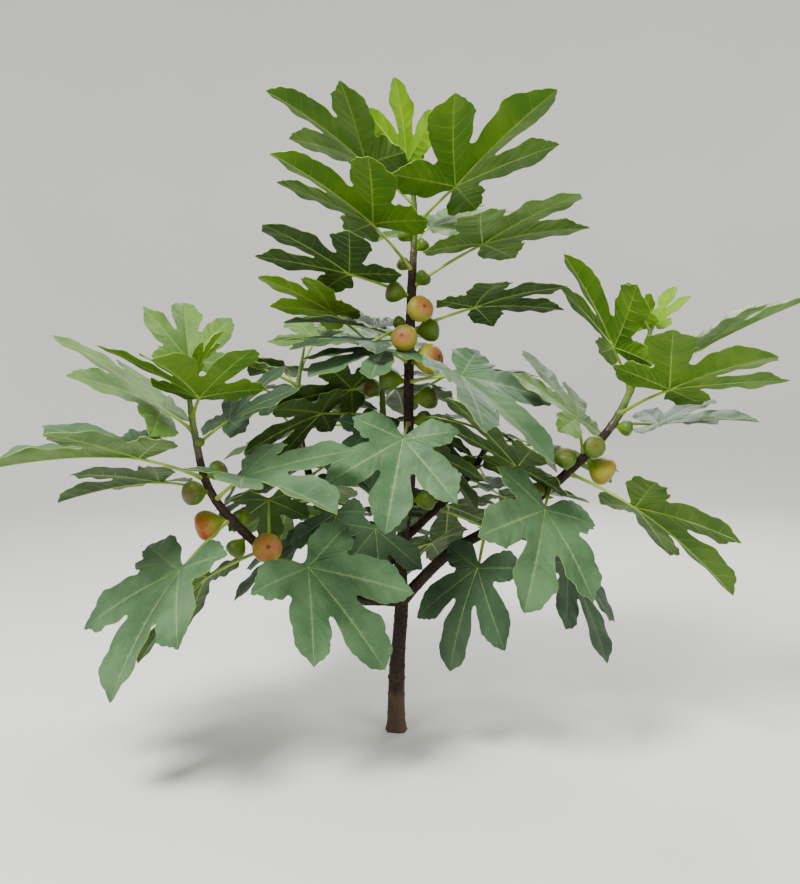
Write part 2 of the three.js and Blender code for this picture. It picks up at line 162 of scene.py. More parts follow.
STATIONS = {
    "leader": (
        Station(290, Leaf(55, 5, 90, 145, 70, -35, -5, 0.1)),
        Station(380, None, Fig(5, 0, 34, 0)),
        Station(505, Leaf(265, -10, 110, 155, -10, -50, -10, 0.2), Fig(20, 10, 30, 0)),
        Station(540, Leaf(45, 25, 95, 180, -10, 5, 0, 0.1), Fig(355, 10, 38, 0)),
        Station(570, Leaf(310, 5, 120, 190, 25, -35, 10, 0.2), Fig(185, 10, 38, 0)),
        Station(600, Leaf(210, 25, 50, 150, 10, -10, -10, 0), Fig(325, 10, 48, 1)),
        Station(630, Leaf(140, 20, 85, 155, 25, 10, -5, 0.2), Fig(255, 15, 42, 1), shaded=True),
        Station(650, Leaf(345, 20, 110, 160, -20, 15, -10, 0), Fig(355, 5, 38, 0), shaded=True),
        Station(660, Leaf(210, -20, 75, 165, -35, 5, -5, 0), Fig(150, 15, 22, 0), shaded=True),
        Station(675, None, Fig(295, 15, 42, 1)),
        Station(705, Leaf(185, 20, 105, 180, 40, 25, 5, 0), Fig(190, 15, 34, 0), shaded=True),
        Station(720, Leaf(345, 30, 130, 200, -35, 20, 0, 0), Fig(350, 40, 26, 0)),
        Station(745, Leaf(220, 40, 105, 200, 0, 30, 0, 0.2), Fig(170, 40, 22, 0)),
        Station(775, None, Fig(355, 40, 22, 0)),
        Station(790, Leaf(70, 25, 80, 190, -10, 25, 0, 0), Fig(190, 40, 24, 0)),
        Station(815, Leaf(335, 40, 90, 210, -10, 40, -10, 0.2), Fig(290, 30, 16, 0)),
        Station(850, Leaf(160, 40, 105, 190, 35, 40, 10, 0.2)),
        Station(880, Leaf(180, 75, 35, 130, 80, 70, -40, 0)),
        Station(895, Leaf(20, 60, 25, 70, 0, 60, 0, 0.2)),
    ),
    "right": (
        Station(180, Leaf(255, -35, 80, 160, -45, -65, -10, 0), shaded=True),
        Station(240, Leaf(345, -45, 110, 160, -30, -55, -10, 0), shaded=True),
        Station(285, Leaf(195, 50, 60, 190, 30, 40, -10, 0), Fig(250, 30, 24, 0), shaded=True),
        Station(305, Leaf(255, -20, 75, 180, 0, -40, -40, 0.2)),
        Station(340, Leaf(340, -25, 115, 200, 20, -35, -20, 0.2), Fig(250, 55, 34, 0)),
        Station(375, Leaf(190, 80, 60, 150, -55, 50, 10, 0), Fig(350, -35, 44, 1)),
        Station(390, None, Fig(270, 15, 34, 0)),
        Station(440, Leaf(25, 0, 90, 150, -40, 10, 10, 0.2), Fig(350, -10, 25, 0)),
        Station(460, Leaf(315, 25, 95, 190, -10, 20, -20, 0.2)),
        Station(500, Leaf(225, 55, 80, 165, -15, 60, -10, 0.2)),
        Station(515, Leaf(10, 25, 120, 170, -30, 30, 5, 0.3)),
        Station(580, Leaf(40, 55, 35, 75, 0, 55, 0, 0.2)),
        Station(595, Leaf(200, 60, 25, 60, 0, 65, 0, 0.2)),
    ),
    "left": (
        Station(240, Leaf(310, 0, 90, 180, 30, -45, 35, 0.2)),
        Station(260, Leaf(180, -25, 95, 170, -5, -45, 10, 0), Fig(285, 15, 44, 1), shaded=True),
        Station(305, None, Fig(105, 30, 30, 0)),
        Station(330, Leaf(215, -40, 105, 200, 15, -45, 5, 0.2), Fig(190, -15, 44, 1)),
        Station(365, Leaf(315, 30, 80, 180, 5, -5, 10, 0.4)),
        Station(380, Leaf(150, 5, 100, 160, 25, -5, 15, 0.2), Fig(225, 0, 36, 0), shaded=True),
        Station(400, Leaf(205, 20, 100, 200, -5, 5, 0, 0.4), Fig(340, 30, 30, 0)),
        Station(450, Leaf(50, 30, 70, 130, -10, 45, 0, 0), Fig(300, 25, 14, 0), shaded=True),
        Station(470, Leaf(170, 35, 60, 190, 10, 40, -5, 0)),
        Station(490, Leaf(295, 35, 55, 170, -35, 25, 0, 0.4)),
        Station(500, Leaf(105, 60, 85, 120, 0, 55, 10, 0.3)),
        Station(540, Leaf(350, 55, 30, 65, 0, 60, 0, 0.2)),
        Station(295, None, Fig(200, -50, 30, 0)),
    ),
    "back_left": (
        Station(150, Leaf(175, -40, 70, 150, 25, -35, 0, 0.1)),
        Station(205, Leaf(80, 0, 95, 180, 5, -10, 0, 0.1), Fig(60, 30, 34, 0)),
        Station(260, Leaf(245, -10, 75, 150, -25, -20, 15, 0.1), Fig(215, 15, 30, 0)),
        Station(330, Leaf(15, 5, 85, 160, 5, -15, 0, 0.1)),
        Station(370, Leaf(140, 20, 95, 185, 10, 0, 0, 0.1)),
        Station(410, Leaf(200, 25, 80, 160, 0, 10, 0, 0.1)),
        Station(440, Leaf(70, 40, 85, 170, 0, 25, 0, 0.1)),
    ),
    "back": (
        Station(190, Leaf(190, 5, 105, 150, 10, -20, 35, 0), Fig(215, 5, 32, 0)),
        Station(215, Leaf(75, 15, 90, 175, 10, -10, 0, 0.1)),
        Station(240, Leaf(205, 0, 55, 145, 5, -5, 40, 0), Fig(230, 5, 32, 0)),
        Station(275, Leaf(95, 30, 95, 180, 0, 15, 5, 0.1)),
        Station(300, Leaf(190, 40, 105, 140, 10, 30, 15, 0)),
    ),
    "back_right": (
        Station(110, Leaf(80, -10, 90, 165, 10, -30, 0, 0.1), Fig(110, 30, 34, 0)),
        Station(150, Leaf(330, 10, 75, 160, 30, -5, 0, 0.1)),
        Station(195, Leaf(125, 5, 95, 175, 5, -15, 0, 0.1), Fig(95, 35, 32, 0)),
        Station(250, Leaf(20, 5, 95, 180, 0, -20, 0, 0.1)),
        Station(285, Leaf(165, 20, 80, 160, 10, 0, 0, 0.1)),
        Station(310, Leaf(70, 30, 85, 175, 0, 10, 0, 0.1)),
    ),
}


# Curves, streams and tubes


def unit(vectors: Array) -> Array:
    """Returns each vector at length one."""
    return vectors / np.maximum(np.linalg.norm(vectors, axis=-1, keepdims=True), 1e-12)


def direction(bearing: float, rise: float) -> Array:
    """Returns the unit vector at a bearing from +X towards +Y and a rise above level."""
    turn, lift = math.radians(bearing), math.radians(rise)
    return np.array([math.cos(lift) * math.cos(turn), math.cos(lift) * math.sin(turn), math.sin(lift)])


def smooth_step(low: float, high: float, values: Array) -> Array:
    """Returns 0 below low, 1 above high and 3t^2 - 2t^3 between them."""
    share = np.clip((values - low) / (high - low), 0, 1)
    return share * share * (3 - 2 * share)


def stream(seed: int) -> Iterator[float]:
    """Yields the repeatable numbers from 0 to 1 that the solids' leaves draw their differences from."""
    whole = 0xFFFFFFFF
    state = seed & whole
    while True:
        state = (state + 0x6D2B79F5) & whole
        mixed = ((state ^ (state >> 15)) * (state | 1)) & whole
        mixed ^= (mixed + (mixed ^ (mixed >> 7)) * (mixed | 61)) & whole
        yield (mixed ^ (mixed >> 14)) / (whole + 1)


def phase(draws: np.random.Generator) -> float:
    """Returns a drawn phase for a wave."""
    return draws.uniform(0, 6)


class Curve:
    """A centripetal Catmull-Rom curve through points, measured along its length.

    Between two points it is the cubic whose slopes there come from the next points along, each span
    timed by the square root of its length.
    """

    DIVISIONS = 400

    def __init__(self, points: Array, before: Array | None = None) -> None:
        """Takes the points, and the ghost that sets the slope at the start.

        Args:
            points: the points, one a row.
            before: the ghost before the first point, or None to carry on straight, as the end does.
        """
        points = np.asarray(points, float)
        first = 2 * points[0] - points[1] if before is None else before
        self.points = np.vstack([first, points, 2 * points[-1] - points[-2]])
        self.times = np.linspace(0, 1, self.DIVISIONS + 1)
        steps = np.linalg.norm(np.diff(self._raw(self.times), axis=0), axis=1)
        self.lengths = np.concatenate([[0.0], np.cumsum(steps)])

    @property
    def length(self) -> float:
        """Returns the curve's whole length."""
        return float(self.lengths[-1])

    def _raw(self, times: Array) -> Array:
        """Works out points of the cubics.

        Args:
            times: times from 0 to 1, spread evenly over the spans.

        Returns:
            The points, one a row.
        """
        spans = len(self.points) - 3
        place = np.clip(times, 0, 1) * spans
        index = np.minimum(place.astype(int), spans - 1)
        share = (place - index)[:, None]
        p0, p1, p2, p3 = (self.points[index + k] for k in range(4))
        d0, d1, d2 = (np.sqrt(np.linalg.norm(b - a, axis=1, keepdims=True)) + 1e-9
                      for a, b in ((p0, p1), (p1, p2), (p2, p3)))
        slope1 = ((p1 - p0) / d0 - (p2 - p0) / (d0 + d1) + (p2 - p1) / d1) * d1
        slope2 = ((p2 - p1) / d1 - (p3 - p1) / (d1 + d2) + (p3 - p2) / d2) * d1
        square = share * share
        cube = square * share
        return ((2 * cube - 3 * square + 1) * p1 + (cube - 2 * square + share) * slope1
                + (3 * square - 2 * cube) * p2 + (cube - square) * slope2)

    def at(self, shares: Array) -> Array:
        """Returns the points at shares, from 0 to 1, of the curve's length."""
        wanted = np.clip(shares, 0, 1) * self.length
        return self._raw(np.interp(wanted, self.lengths, self.times))


class Limb:
    """A limb as a smooth curve with a radius at every distance along it."""

    def __init__(self, route: Route) -> None:
        """Takes the limb's route."""
        self.route = route
        self.curve = Curve(np.array(route.points, float))

    @property
    def length(self) -> float:
        """Returns the limb's length."""
        return self.curve.length

    def points(self, distances: Array) -> Array:
        """Returns the middle of the limb at distances along it."""
        return self.curve.at(np.asarray(distances, float) / self.length)

    def point(self, distance: float) -> Array:
        """Returns the middle of the limb at one distance."""
        return self.points(np.array([distance]))[0]

    def radius(self, distances: Array) -> Array:
        """Returns the radius at distances, even between the places where it is given."""
        places, radii = np.array(self.route.girth, float).T
        return np.interp(distances, places, radii)


def frames_along(points: Array, lead: Array | None = None) -> tuple[Array, ...]:
    """Returns the way, side and across vectors at each point of a path.

    The side is the lead direction with its share along the path taken out, so it never spins.

    Args:
        points: the path's points, one a row.
        lead: the direction to keep the side near, or None for the axis that the path runs least along.

    Returns:
        Three arrays of unit vectors.
    """
    way = unit(np.gradient(points, axis=0))
    if lead is None:
        lead = np.eye(3)[np.argmin(np.abs(way).sum(axis=0))]
    side = unit(lead - (way @ lead)[:, None] * way)
    return way, side, np.cross(way, side)


def ring_turns(sides: int) -> Array:
    """Returns the angles of a ring's points, spread evenly all round."""
    return np.linspace(0, 2 * np.pi, sides, endpoint=False)


def ring_spots(middles: Array, side: Array, across: Array, tall: Array,
               wide: Array, turns: Array) -> Array:
    """Works out rings of points: middle + tall cos t side + wide sin t across.

    Args:
        middles: each ring's middle.
        side: the direction of each ring's first point.
        across: the direction square to that.
        tall: the half size along the side direction, a row for each ring.
        wide: the half size across it, a row for each ring.
        turns: the angles t.

    Returns:
        The points, ring by ring.
    """
    return (middles[:, None] + (tall * np.cos(turns))[..., None] * side[:, None]
            + (wide * np.sin(turns))[..., None] * across[:, None])


def ring_cells(rows: int, sides: int) -> tuple[Array, Array]:
    """Returns the numbers of the two corners that each cell between two rings has on the first one."""
    row, column = np.meshgrid(np.arange(rows - 1), np.arange(sides), indexing="ij")
    return (row * sides + column).ravel(), (row * sides + (column + 1) % sides).ravel()


def ring_faces(rows: int, sides: int) -> Array:
    """Returns the triangles of a tube of rings, closed by a middle point at each end.

    The rings' points come first, then the start's middle and the end's.

    Args:
        rows: the number of rings.
        sides: the number of points in a ring.

    Returns:
        The triangles.
    """
    a, b = ring_cells(rows, sides)
    start, end, top = rows * sides, rows * sides + 1, (rows - 1) * sides
    k = np.arange(sides)
    after = (k + 1) % sides
    return np.vstack([
        np.stack([a, b, b + sides], axis=1),
        np.stack([a, b + sides, a + sides], axis=1),
        np.stack([np.full(sides, start), after, k], axis=1),
        np.stack([np.full(sides, end), top + k, top + after], axis=1),
    ])


def tube(points: Array, tall: Array, wide: Array, sides: int,
         lead: Array | None = None) -> tuple[Array, Array]:
    """Makes a closed tube whose rings are ellipses: middle + tall cos t side + wide sin t across.

    Args:
        points: the middles of the rings.
        tall: each ring's half size along the side direction.
        wide: each ring's half size across it.
        sides: the number of points in a ring.
        lead: the direction to keep the side near.

    Returns:
        The points and the triangles.
    """
    _, side, across = frames_along(points, lead)
    rings = ring_spots(points, side, across, tall[:, None], wide[:, None], ring_turns(sides))
    spots = np.vstack([rings.reshape(-1, 3), points[:1], points[-1:]])
    return spots, ring_faces(len(points), sides)


# Pieces


@dataclass
class Piece:
    """A mesh that is gathered part by part, then made once and given to the frame."""

    name: str
    slot: str
    nodes: tuple[str, ...]
    finishes: tuple[Material, ...]
    measures: tuple[str, ...] = ()
    spots: list[Array] = field(default_factory=list)
    faces: list[Array] = field(default_factory=list)
    slots: list[Array] = field(default_factory=list)
    values: dict[str, list[Array]] = field(default_factory=dict)
    count: int = 0

    def add(self, spots: Array, faces: Array, finish: int | Array = 0, **values: Array) -> None:
        """Adds a closed part.

        Args:
            spots: its points, in millimetres.
            faces: its triangles.
            finish: the number of its finish, or one for each triangle.
            values: a value for each point, for some of the piece's measures.
        """
        self.spots.append(spots)
        self.faces.append(faces + self.count)
        self.slots.append(np.broadcast_to(np.asarray(finish, np.int32), (len(faces),)))
        for name in self.measures:
            self.values.setdefault(name, []).append(values.get(name, np.zeros(len(spots))))
        self.count += len(spots)

    def build(self, crease: float = 55.0) -> None:
        """Makes the mesh, gives it to the frame and reports it.

        Args:
            crease: the angle between faces past which their edge stays sharp.
        """
        spots = np.vstack(self.spots) * METRES
        faces = np.vstack(self.faces).astype(np.int32)
        mesh = bpy.data.meshes.new(self.name)
        mesh.vertices.add(len(spots))
        mesh.vertices.foreach_set("co", spots.astype(np.float32).ravel())
        mesh.loops.add(faces.size)
        mesh.loops.foreach_set("vertex_index", faces.ravel())
        mesh.polygons.add(len(faces))
        mesh.polygons.foreach_set("loop_start", np.arange(0, faces.size, 3, dtype=np.int32))
        for finish in self.finishes:
            mesh.materials.append(finish)
        mesh.polygons.foreach_set("material_index", np.concatenate(self.slots))
        for name in self.measures:
            layer = mesh.attributes.new(name, "FLOAT", "POINT")
            layer.data.foreach_set("value", np.concatenate(self.values[name]).astype(np.float32))
        mesh.update(calc_edges=True)
        mesh.validate()
        mesh.shade_smooth()
        mesh.set_sharp_from_angle(angle=math.radians(crease))
        piece = bpy.data.objects.new(self.name, mesh)
        bpy.context.scene.collection.objects.link(piece)
        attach(piece, BODY)
        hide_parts(*self.nodes)
        log.info("%s: %d faces, stands for %d solids", self.name, len(faces), len(self.nodes))


# Finishes


@dataclass(frozen=True)
class Tone:
    """A colour as it looks on a screen, each part from 0 to 255."""

    red: float
    green: float
    blue: float

    @property
    def linear(self) -> tuple[float, float, float, float]:
        """Returns the colour as linear light, with 1 for opaque."""
        parts = [part / 255 for part in (self.red, self.green, self.blue)]
        return (*(p / 12.92 if p <= 0.04045 else ((p + 0.055) / 1.055) ** 2.4 for p in parts), 1.0)


class Graph:
    """Adds shader nodes to a tree and joins them."""

    def __init__(self, tree: NodeTree) -> None:
        """Takes the tree, and empties it."""
        self.tree = tree
        tree.nodes.clear()

    def add(self, kind: str, inputs: dict | None = None, **settings: object) -> Node:
        """Adds one node.

        Args:
            kind: the node's type.
            inputs: for each input's name or number, a value or the output that feeds it.
            settings: properties of the node.

        Returns:
            The node.
        """
        node = self.tree.nodes.new(kind)
        for name, value in settings.items():
            setattr(node, name, value)
        for name, value in (inputs or {}).items():
            if isinstance(value, NodeSocket):
                self.tree.links.new(value, node.inputs[name])
            else:
                node.inputs[name].default_value = value
        return node

    def math(self, operation: str, *values: object) -> NodeSocket:
        """Returns the result of a maths node on numbers or outputs."""
        return self.add("ShaderNodeMath", dict(enumerate(values)), operation=operation).outputs[0]

    def mix(self, factor: object, dark: object, light: object) -> NodeSocket:
        """Returns a colour that goes from one to the other as the factor goes from 0 to 1."""
        return self.add("ShaderNodeMix", {0: factor, 6: dark, 7: light}, data_type="RGBA").outputs[2]

    def ramp(self, value: object, low: float, high: float, start: float = 0.0,
             end: float = 1.0) -> NodeSocket:
        """Returns the value carried smoothly from the range low..high to start..end."""
        node = self.add("ShaderNodeMapRange", {0: value, 1: low, 2: high, 3: start, 4: end},
                        interpolation_type="SMOOTHSTEP")
        return node.outputs[0]

    def noise(self, vector: object, scale: object, detail: float = 3.0) -> NodeSocket:
        """Returns the strength, from 0 to 1, of noise on the vector."""
        inputs = {"Vector": vector, "Scale": scale, "Detail": detail}
        return self.add("ShaderNodeTexNoise", inputs).outputs[0]

    def measure(self, name: str) -> NodeSocket:
        """Returns a measure that the piece's points carry."""
        return self.add("ShaderNodeAttribute", attribute_name=name).outputs["Fac"]

    def object_place(self) -> NodeSocket:
        """Returns the place in the object's own space, which is the frame's, in metres."""
        return self.add("ShaderNodeTexCoord").outputs["Object"]


class SharedEffect(Enum):
    """The effects that more than one finish uses, each one node group."""

    MOTTLE = "mottle"
    CELLS = "cells"
    FLECKS = "flecks"


class Effects:
    """The shared node groups, each built once."""

    FINE_SHARE = 0.14
    PATCH_EDGES = (0.33, 0.67)
    GROOVE = 0.16
    SPOT_EDGE = 0.6

    def __init__(self) -> None:
        """Builds every group."""
        self.groups = {
            SharedEffect.MOTTLE: self._mottle(),
            SharedEffect.CELLS: self._cells(),
            SharedEffect.FLECKS: self._flecks(),
        }

    @staticmethod
    def _begin(effect: SharedEffect, numbers: dict[str, float], colours: tuple[str, ...],
               outputs: dict[str, str]) -> tuple[Graph, Node]:
        """Starts a group with a vector, some numbers and some colours as its inputs.

        Args:
            effect: which group it is.
            numbers: the number inputs and what they are unless set.
            colours: the colour inputs.
            outputs: each output's name and its socket's type.

        Returns:
            The group's graph and its input node.
        """
        tree = bpy.data.node_groups.new(effect.value, "ShaderNodeTree")
        tree.interface.new_socket(name="Vector", in_out="INPUT", socket_type="NodeSocketVector")
        for name, value in numbers.items():
            socket = tree.interface.new_socket(name=name, in_out="INPUT", socket_type="NodeSocketFloat")
            socket.default_value = value
        for name in colours:
            tree.interface.new_socket(name=name, in_out="INPUT", socket_type="NodeSocketColor")
        for name, kind in outputs.items():
            tree.interface.new_socket(name=name, in_out="OUTPUT", socket_type=kind)
        graph = Graph(tree)
        return graph, graph.add("NodeGroupInput")

    def _mottle(self) -> NodeTree:
        """Broad soft patches of a dark and a light colour, with fine grain over them."""
        graph, source = self._begin(
            SharedEffect.MOTTLE, {"Scale": 20.0, "Grain": 400.0}, ("Dark", "Light"),
            {"Color": "NodeSocketColor", "Mask": "NodeSocketFloat"})
        vector = source.outputs["Vector"]
        broad = graph.noise(vector, source.outputs["Scale"], 4.0)
        fine = graph.noise(vector, source.outputs["Grain"], 2.0)
        both = graph.math("ADD", graph.math("MULTIPLY", broad, 1 - self.FINE_SHARE),
                          graph.math("MULTIPLY", fine, self.FINE_SHARE))
        mask = graph.ramp(both, *self.PATCH_EDGES)
        colour = graph.mix(mask, source.outputs["Dark"], source.outputs["Light"])
        graph.add("NodeGroupOutput", {"Color": colour, "Mask": mask})
        return graph.tree

    def _cells(self) -> NodeTree:
        """The finest net of veins: raised cells with a groove between each and the next."""
        graph, source = self._begin(SharedEffect.CELLS, {"Scale": 260.0}, (), {"Height": "NodeSocketFloat"})
        cells = graph.add("ShaderNodeTexVoronoi", {
            "Vector": source.outputs["Vector"], "Scale": source.outputs["Scale"]},
            feature="DISTANCE_TO_EDGE")
        height = graph.ramp(cells.outputs["Distance"], 0.0, self.GROOVE)
        graph.add("NodeGroupOutput", {"Height": height})
        return graph.tree

    def _flecks(self) -> NodeTree:
        """Small round spots, scattered one to a cell."""
        graph, source = self._begin(
            SharedEffect.FLECKS, {"Scale": 200.0, "Size": 0.2}, (), {"Mask": "NodeSocketFloat"})
        spots = graph.add("ShaderNodeTexVoronoi", {
            "Vector": source.outputs["Vector"], "Scale": source.outputs["Scale"]})
        share = graph.math("DIVIDE", spots.outputs["Distance"], source.outputs["Size"])
        graph.add("NodeGroupOutput", {"Mask": graph.ramp(share, self.SPOT_EDGE, 1.0, 1.0, 0.0)})
        return graph.tree

    def place(self, graph: Graph, effect: SharedEffect, **inputs: object) -> Node:
        """Places a group in a finish's graph.

        Args:
            graph: the finish's graph.
            effect: which group.
            inputs: its inputs' values, or the outputs that feed them.

        Returns:
            The group's node.
        """
        return graph.add("ShaderNodeGroup", inputs, node_tree=self.groups[effect])

    def mottle(self, graph: Graph, place: object, patches: Pair, dark: Tone, light: Tone) -> Node:
        """Places the mottle between two colours, by how fine its patches and its grain are."""
        return self.place(graph, SharedEffect.MOTTLE, Vector=place, Scale=patches[0], Grain=patches[1],
                          Dark=dark.linear, Light=light.linear)

    def dots(self, graph: Graph, place: object, pores: Pair) -> NodeSocket:
        """Returns the mask of pores, by how fine and how big they are."""
        return self.place(graph, SharedEffect.FLECKS, Vector=place, Scale=pores[0],
                          Size=pores[1]).outputs["Mask"]


def new_finish(name: str) -> tuple[Material, Graph]:
    """Returns a new material and the graph of its nodes."""
    material = bpy.data.materials.new(name)
    material.use_nodes = True
    return material, Graph(material.node_tree)


def close_finish(graph: Graph, colour: object, roughness: object, height: object, depth: float,
                 **settings: object) -> None:
    """Ends a graph in a Principled shader whose bump comes from a height.

    Args:
        graph: the finish's graph.
        colour: the output that gives the base colour.
        roughness: the output that gives the roughness.
        height: the output that gives the bump's height, from 0 to 1.
        depth: how deep the bump is, in metres.
        settings: other inputs of the shader, each one number or colour.
    """
    bump = graph.add("ShaderNodeBump", {"Height": height, "Distance": depth, "Strength": 1.0})
    inputs = {"Base Color": colour, "Roughness": roughness, "Normal": bump.outputs[0]}
    inputs.update({name.replace("_", " "): value for name, value in settings.items()})
    shader = graph.add("ShaderNodeBsdfPrincipled", inputs)
    graph.add("ShaderNodeOutputMaterial", {"Surface": shader.outputs[0]})


@dataclass(frozen=True)
class LeafFinish:
    """One side of a leaf: patches of two greens, paler beside the veins, and a felt of fine hairs.

    What every leaf shares follows the felt: how fine its patches and their grain are, how fine the
    net is and how much it shows, how fast the ribs' colour fades beside them and how much it shows.
    """

    name: str
    dark: Tone
    light: Tone
    rib: Tone
    rough: float
    felt: float
    patches: Pair = (16.0, 330.0)
    net: Pair = (300.0, 0.05)
    beside: Pair = (4.5, 0.55)
    vary_rough: Pair = (0.08, -0.06)
    depth: float = 0.00025

    def material(self, effects: Effects) -> Material:
        """Makes the material, paler by the measure called rib.

        Args:
            effects: the shared node groups.

        Returns:
            The material.
        """
        material, graph = new_finish(self.name)
        place = graph.object_place()
        mottle = effects.mottle(graph, place, self.patches, self.dark, self.light)
        cells = effects.place(graph, SharedEffect.CELLS, Vector=place, Scale=self.net[0])
        grooves = graph.math("SUBTRACT", 1.0, cells.outputs["Height"])
        net = graph.math("MULTIPLY", grooves, self.net[1])
        fading = graph.math("POWER", graph.measure("rib"), self.beside[0])
        beside = graph.math("MULTIPLY", fading, self.beside[1])
        colour = graph.mix(graph.math("MAXIMUM", net, beside), mottle.outputs["Color"], self.rib.linear)
        rough = [self.rough + change for change in self.vary_rough]
        roughness = graph.ramp(mottle.outputs["Mask"], 0.0, 1.0, *rough)
        close_finish(graph, colour, roughness, cells.outputs["Height"], self.depth,
                     Sheen_Weight=self.felt, Sheen_Roughness=0.5, Specular_IOR_Level=0.28)
        return material


@dataclass(frozen=True)
class StemFinish:
    """Soft green growth: stalks, veins, young shoots and buds, dotted with pores and a little glossy."""

    name: str
    dark: Tone
    light: Tone
    foot: Tone
    pore: Tone = Tone(214, 214, 168)
    patches: Pair = (45.0, 700.0)
    pores: Pair = (420.0, 0.16)
    pore_shows: float = 0.35
    rough: Pair = (0.48, 0.36)
    depth: float = 0.0002

    def material(self, effects: Effects) -> Material:
        """Makes the material. The foot colour fades in with the measure called foot.

        Args:
            effects: the shared node groups.

        Returns:
            The material.
        """
        material, graph = new_finish(self.name)
        place = graph.object_place()
        mottle = effects.mottle(graph, place, self.patches, self.dark, self.light)
        dots = effects.dots(graph, place, self.pores)
        skin = graph.mix(graph.measure("foot"), mottle.outputs["Color"], self.foot.linear)
        dotted = graph.math("MULTIPLY", dots, self.pore_shows)
        colour = graph.mix(dotted, skin, self.pore.linear)
        roughness = graph.ramp(mottle.outputs["Mask"], 0.0, 1.0, *self.rough)
        close_finish(graph, colour, roughness, graph.noise(place, 500.0), self.depth,
                     Specular_IOR_Level=0.45)
        return material


@dataclass(frozen=True)
class BarkFinish:
    """Young fig bark: dark brown with pale pores, greyer and paler low on the trunk."""

    name: str
    groove: Tone
    ridge: Tone
    worn: Tone
    pore: Tone
    worn_to: float
    patches: Pair = (60.0, 900.0)
    ridge_shows: float = 0.6
    wear: float = 38.0
    low_wear: float = 0.75
    wear_edges: Pair = (0.62, 1.0)
    pores: Pair = (230.0, 0.2)
    pore_shows: float = 0.6
    rough: Pair = (0.9, 0.72)
    depth: float = 0.0006

    def material(self, effects: Effects) -> Material:
        """Makes the material. The measure called ridge is high where the relief stands.

        Args:
            effects: the shared node groups.

        Returns:
            The material.
        """
        material, graph = new_finish(self.name)
        place = graph.object_place()
        height = graph.add("ShaderNodeSeparateXYZ", {"Vector": place}).outputs["Z"]
        mottle = effects.mottle(graph, place, self.patches, self.groove, self.ridge)
        raised = graph.mix(graph.math("MULTIPLY", graph.measure("ridge"), self.ridge_shows),
                           mottle.outputs["Color"], self.ridge.linear)
        patches = graph.noise(place, self.wear, 5.0)
        low = graph.math("MULTIPLY", graph.ramp(height, self.worn_to * METRES, 0.0), self.low_wear)
        worn = graph.ramp(graph.math("ADD", low, patches), *self.wear_edges)
        skin = graph.mix(worn, raised, self.worn.linear)
        dots = effects.dots(graph, place, self.pores)
        dotted = graph.math("MULTIPLY", dots, self.pore_shows)
        colour = graph.mix(dotted, skin, self.pore.linear)
        grain = graph.math("ADD", graph.noise(place, 420.0, 5.0), dots)
        roughness = graph.ramp(patches, 0.2, 0.8, *self.rough)
        close_finish(graph, colour, roughness, grain, self.depth, Specular_IOR_Level=0.3)
        return material


@dataclass(frozen=True)
class FigFinish:
    """Fig skin: green at the neck, its own colour on the body, patches of flush, a face round the eye.

    The pairs are the shares along the fig where the neck's green ends, the flush's strength where it
    starts and is full, and how the face's strength follows the flush and where that stops.
    """

    name: str
    neck: Tone
    body: Tone
    flush: Tone
    face: Tone
    eye: Tone
    pore: Tone = Tone(226, 224, 178)
    neck_ends: Pair = (0.16, 0.62)
    flush_edges: Pair = (0.55, 1.05)
    face_follows: Pair = (2.0, 0.9)
    patches: Pair = (42.0, 600.0)
    blotches: Pair = (30.0, 0.7)
    pores: Pair = (300.0, 0.17)
    pore_shows: float = 0.28
    rough: Pair = (0.52, 0.4)
    depth: float = 0.00025

    def material(self, effects: Effects) -> Material:
        """Makes the material, by the measures called along, eye, streak and blush.

        Args:
            effects: the shared node groups.

        Returns:
            The material.
        """
        material, graph = new_finish(self.name)
        place = graph.object_place()
        along = graph.measure("along")
        mottle = effects.mottle(graph, place, self.patches, self.flush, self.body)
        blushing = graph.measure("blush")
        blotchy = graph.math("MULTIPLY", graph.noise(place, self.blotches[0]), self.blotches[1])
        patchy = graph.math("ADD", graph.math("MULTIPLY", along, blushing), blotchy)
        blush = graph.ramp(patchy, *self.flush_edges)
        body = graph.mix(blush, self.body.linear, mottle.outputs["Color"])
        skin = graph.mix(graph.ramp(along, *self.neck_ends), self.neck.linear, body)
        gain, most = self.face_follows
        strength = graph.math("MINIMUM", graph.math("MULTIPLY", blushing, gain), most)
        streak = graph.math("MULTIPLY", graph.measure("streak"), strength)
        lined = graph.mix(streak, skin, self.face.linear)
        dotted = graph.math("MULTIPLY", effects.dots(graph, place, self.pores), self.pore_shows)
        spotted = graph.mix(dotted, lined, self.pore.linear)
        colour = graph.mix(graph.measure("eye"), spotted, self.eye.linear)
        roughness = graph.ramp(mottle.outputs["Mask"], 0.0, 1.0, *self.rough)
        close_finish(graph, colour, roughness, graph.noise(place, 480.0, 4.0), self.depth,
                     Specular_IOR_Level=0.34, Sheen_Weight=0.04)
        return material


# Leaves


class Tint(Enum):
    """How a leaf is coloured: by its age, and by painted light: painted sunlight where the sun strikes it or
    shines through it, painted shade where others shade it.
    """

    YOUNG = "young"
    # Painted sunlight: paler above, and bright below as if the sun shone through.
    SUNLIT = "sunlit"
    MATURE = "mature"
    # Painted shade.
    SHADED = "shaded"


@dataclass(frozen=True)
class Lobe:
    """A lobe of a blade: its turn from the midrib, its reach and half width, as shares of the blade."""

    turn: float
    reach: float
    width: float


@dataclass(frozen=True)
class Half:
    """Half a lobe, from its vein to one edge.

    The side is 1 on the left of the blade and -1 on the right. The hand is -1 where the edge is the
    one nearer the blade's tip. The edge's points give how far along the lobe and how far out they
    lie, from the gap towards the tip.
    """

    side: int
    lobe: Lobe
    hand: int
    gap: Pair
    lift: float
    points: tuple[Pair, ...]
    cut: bool


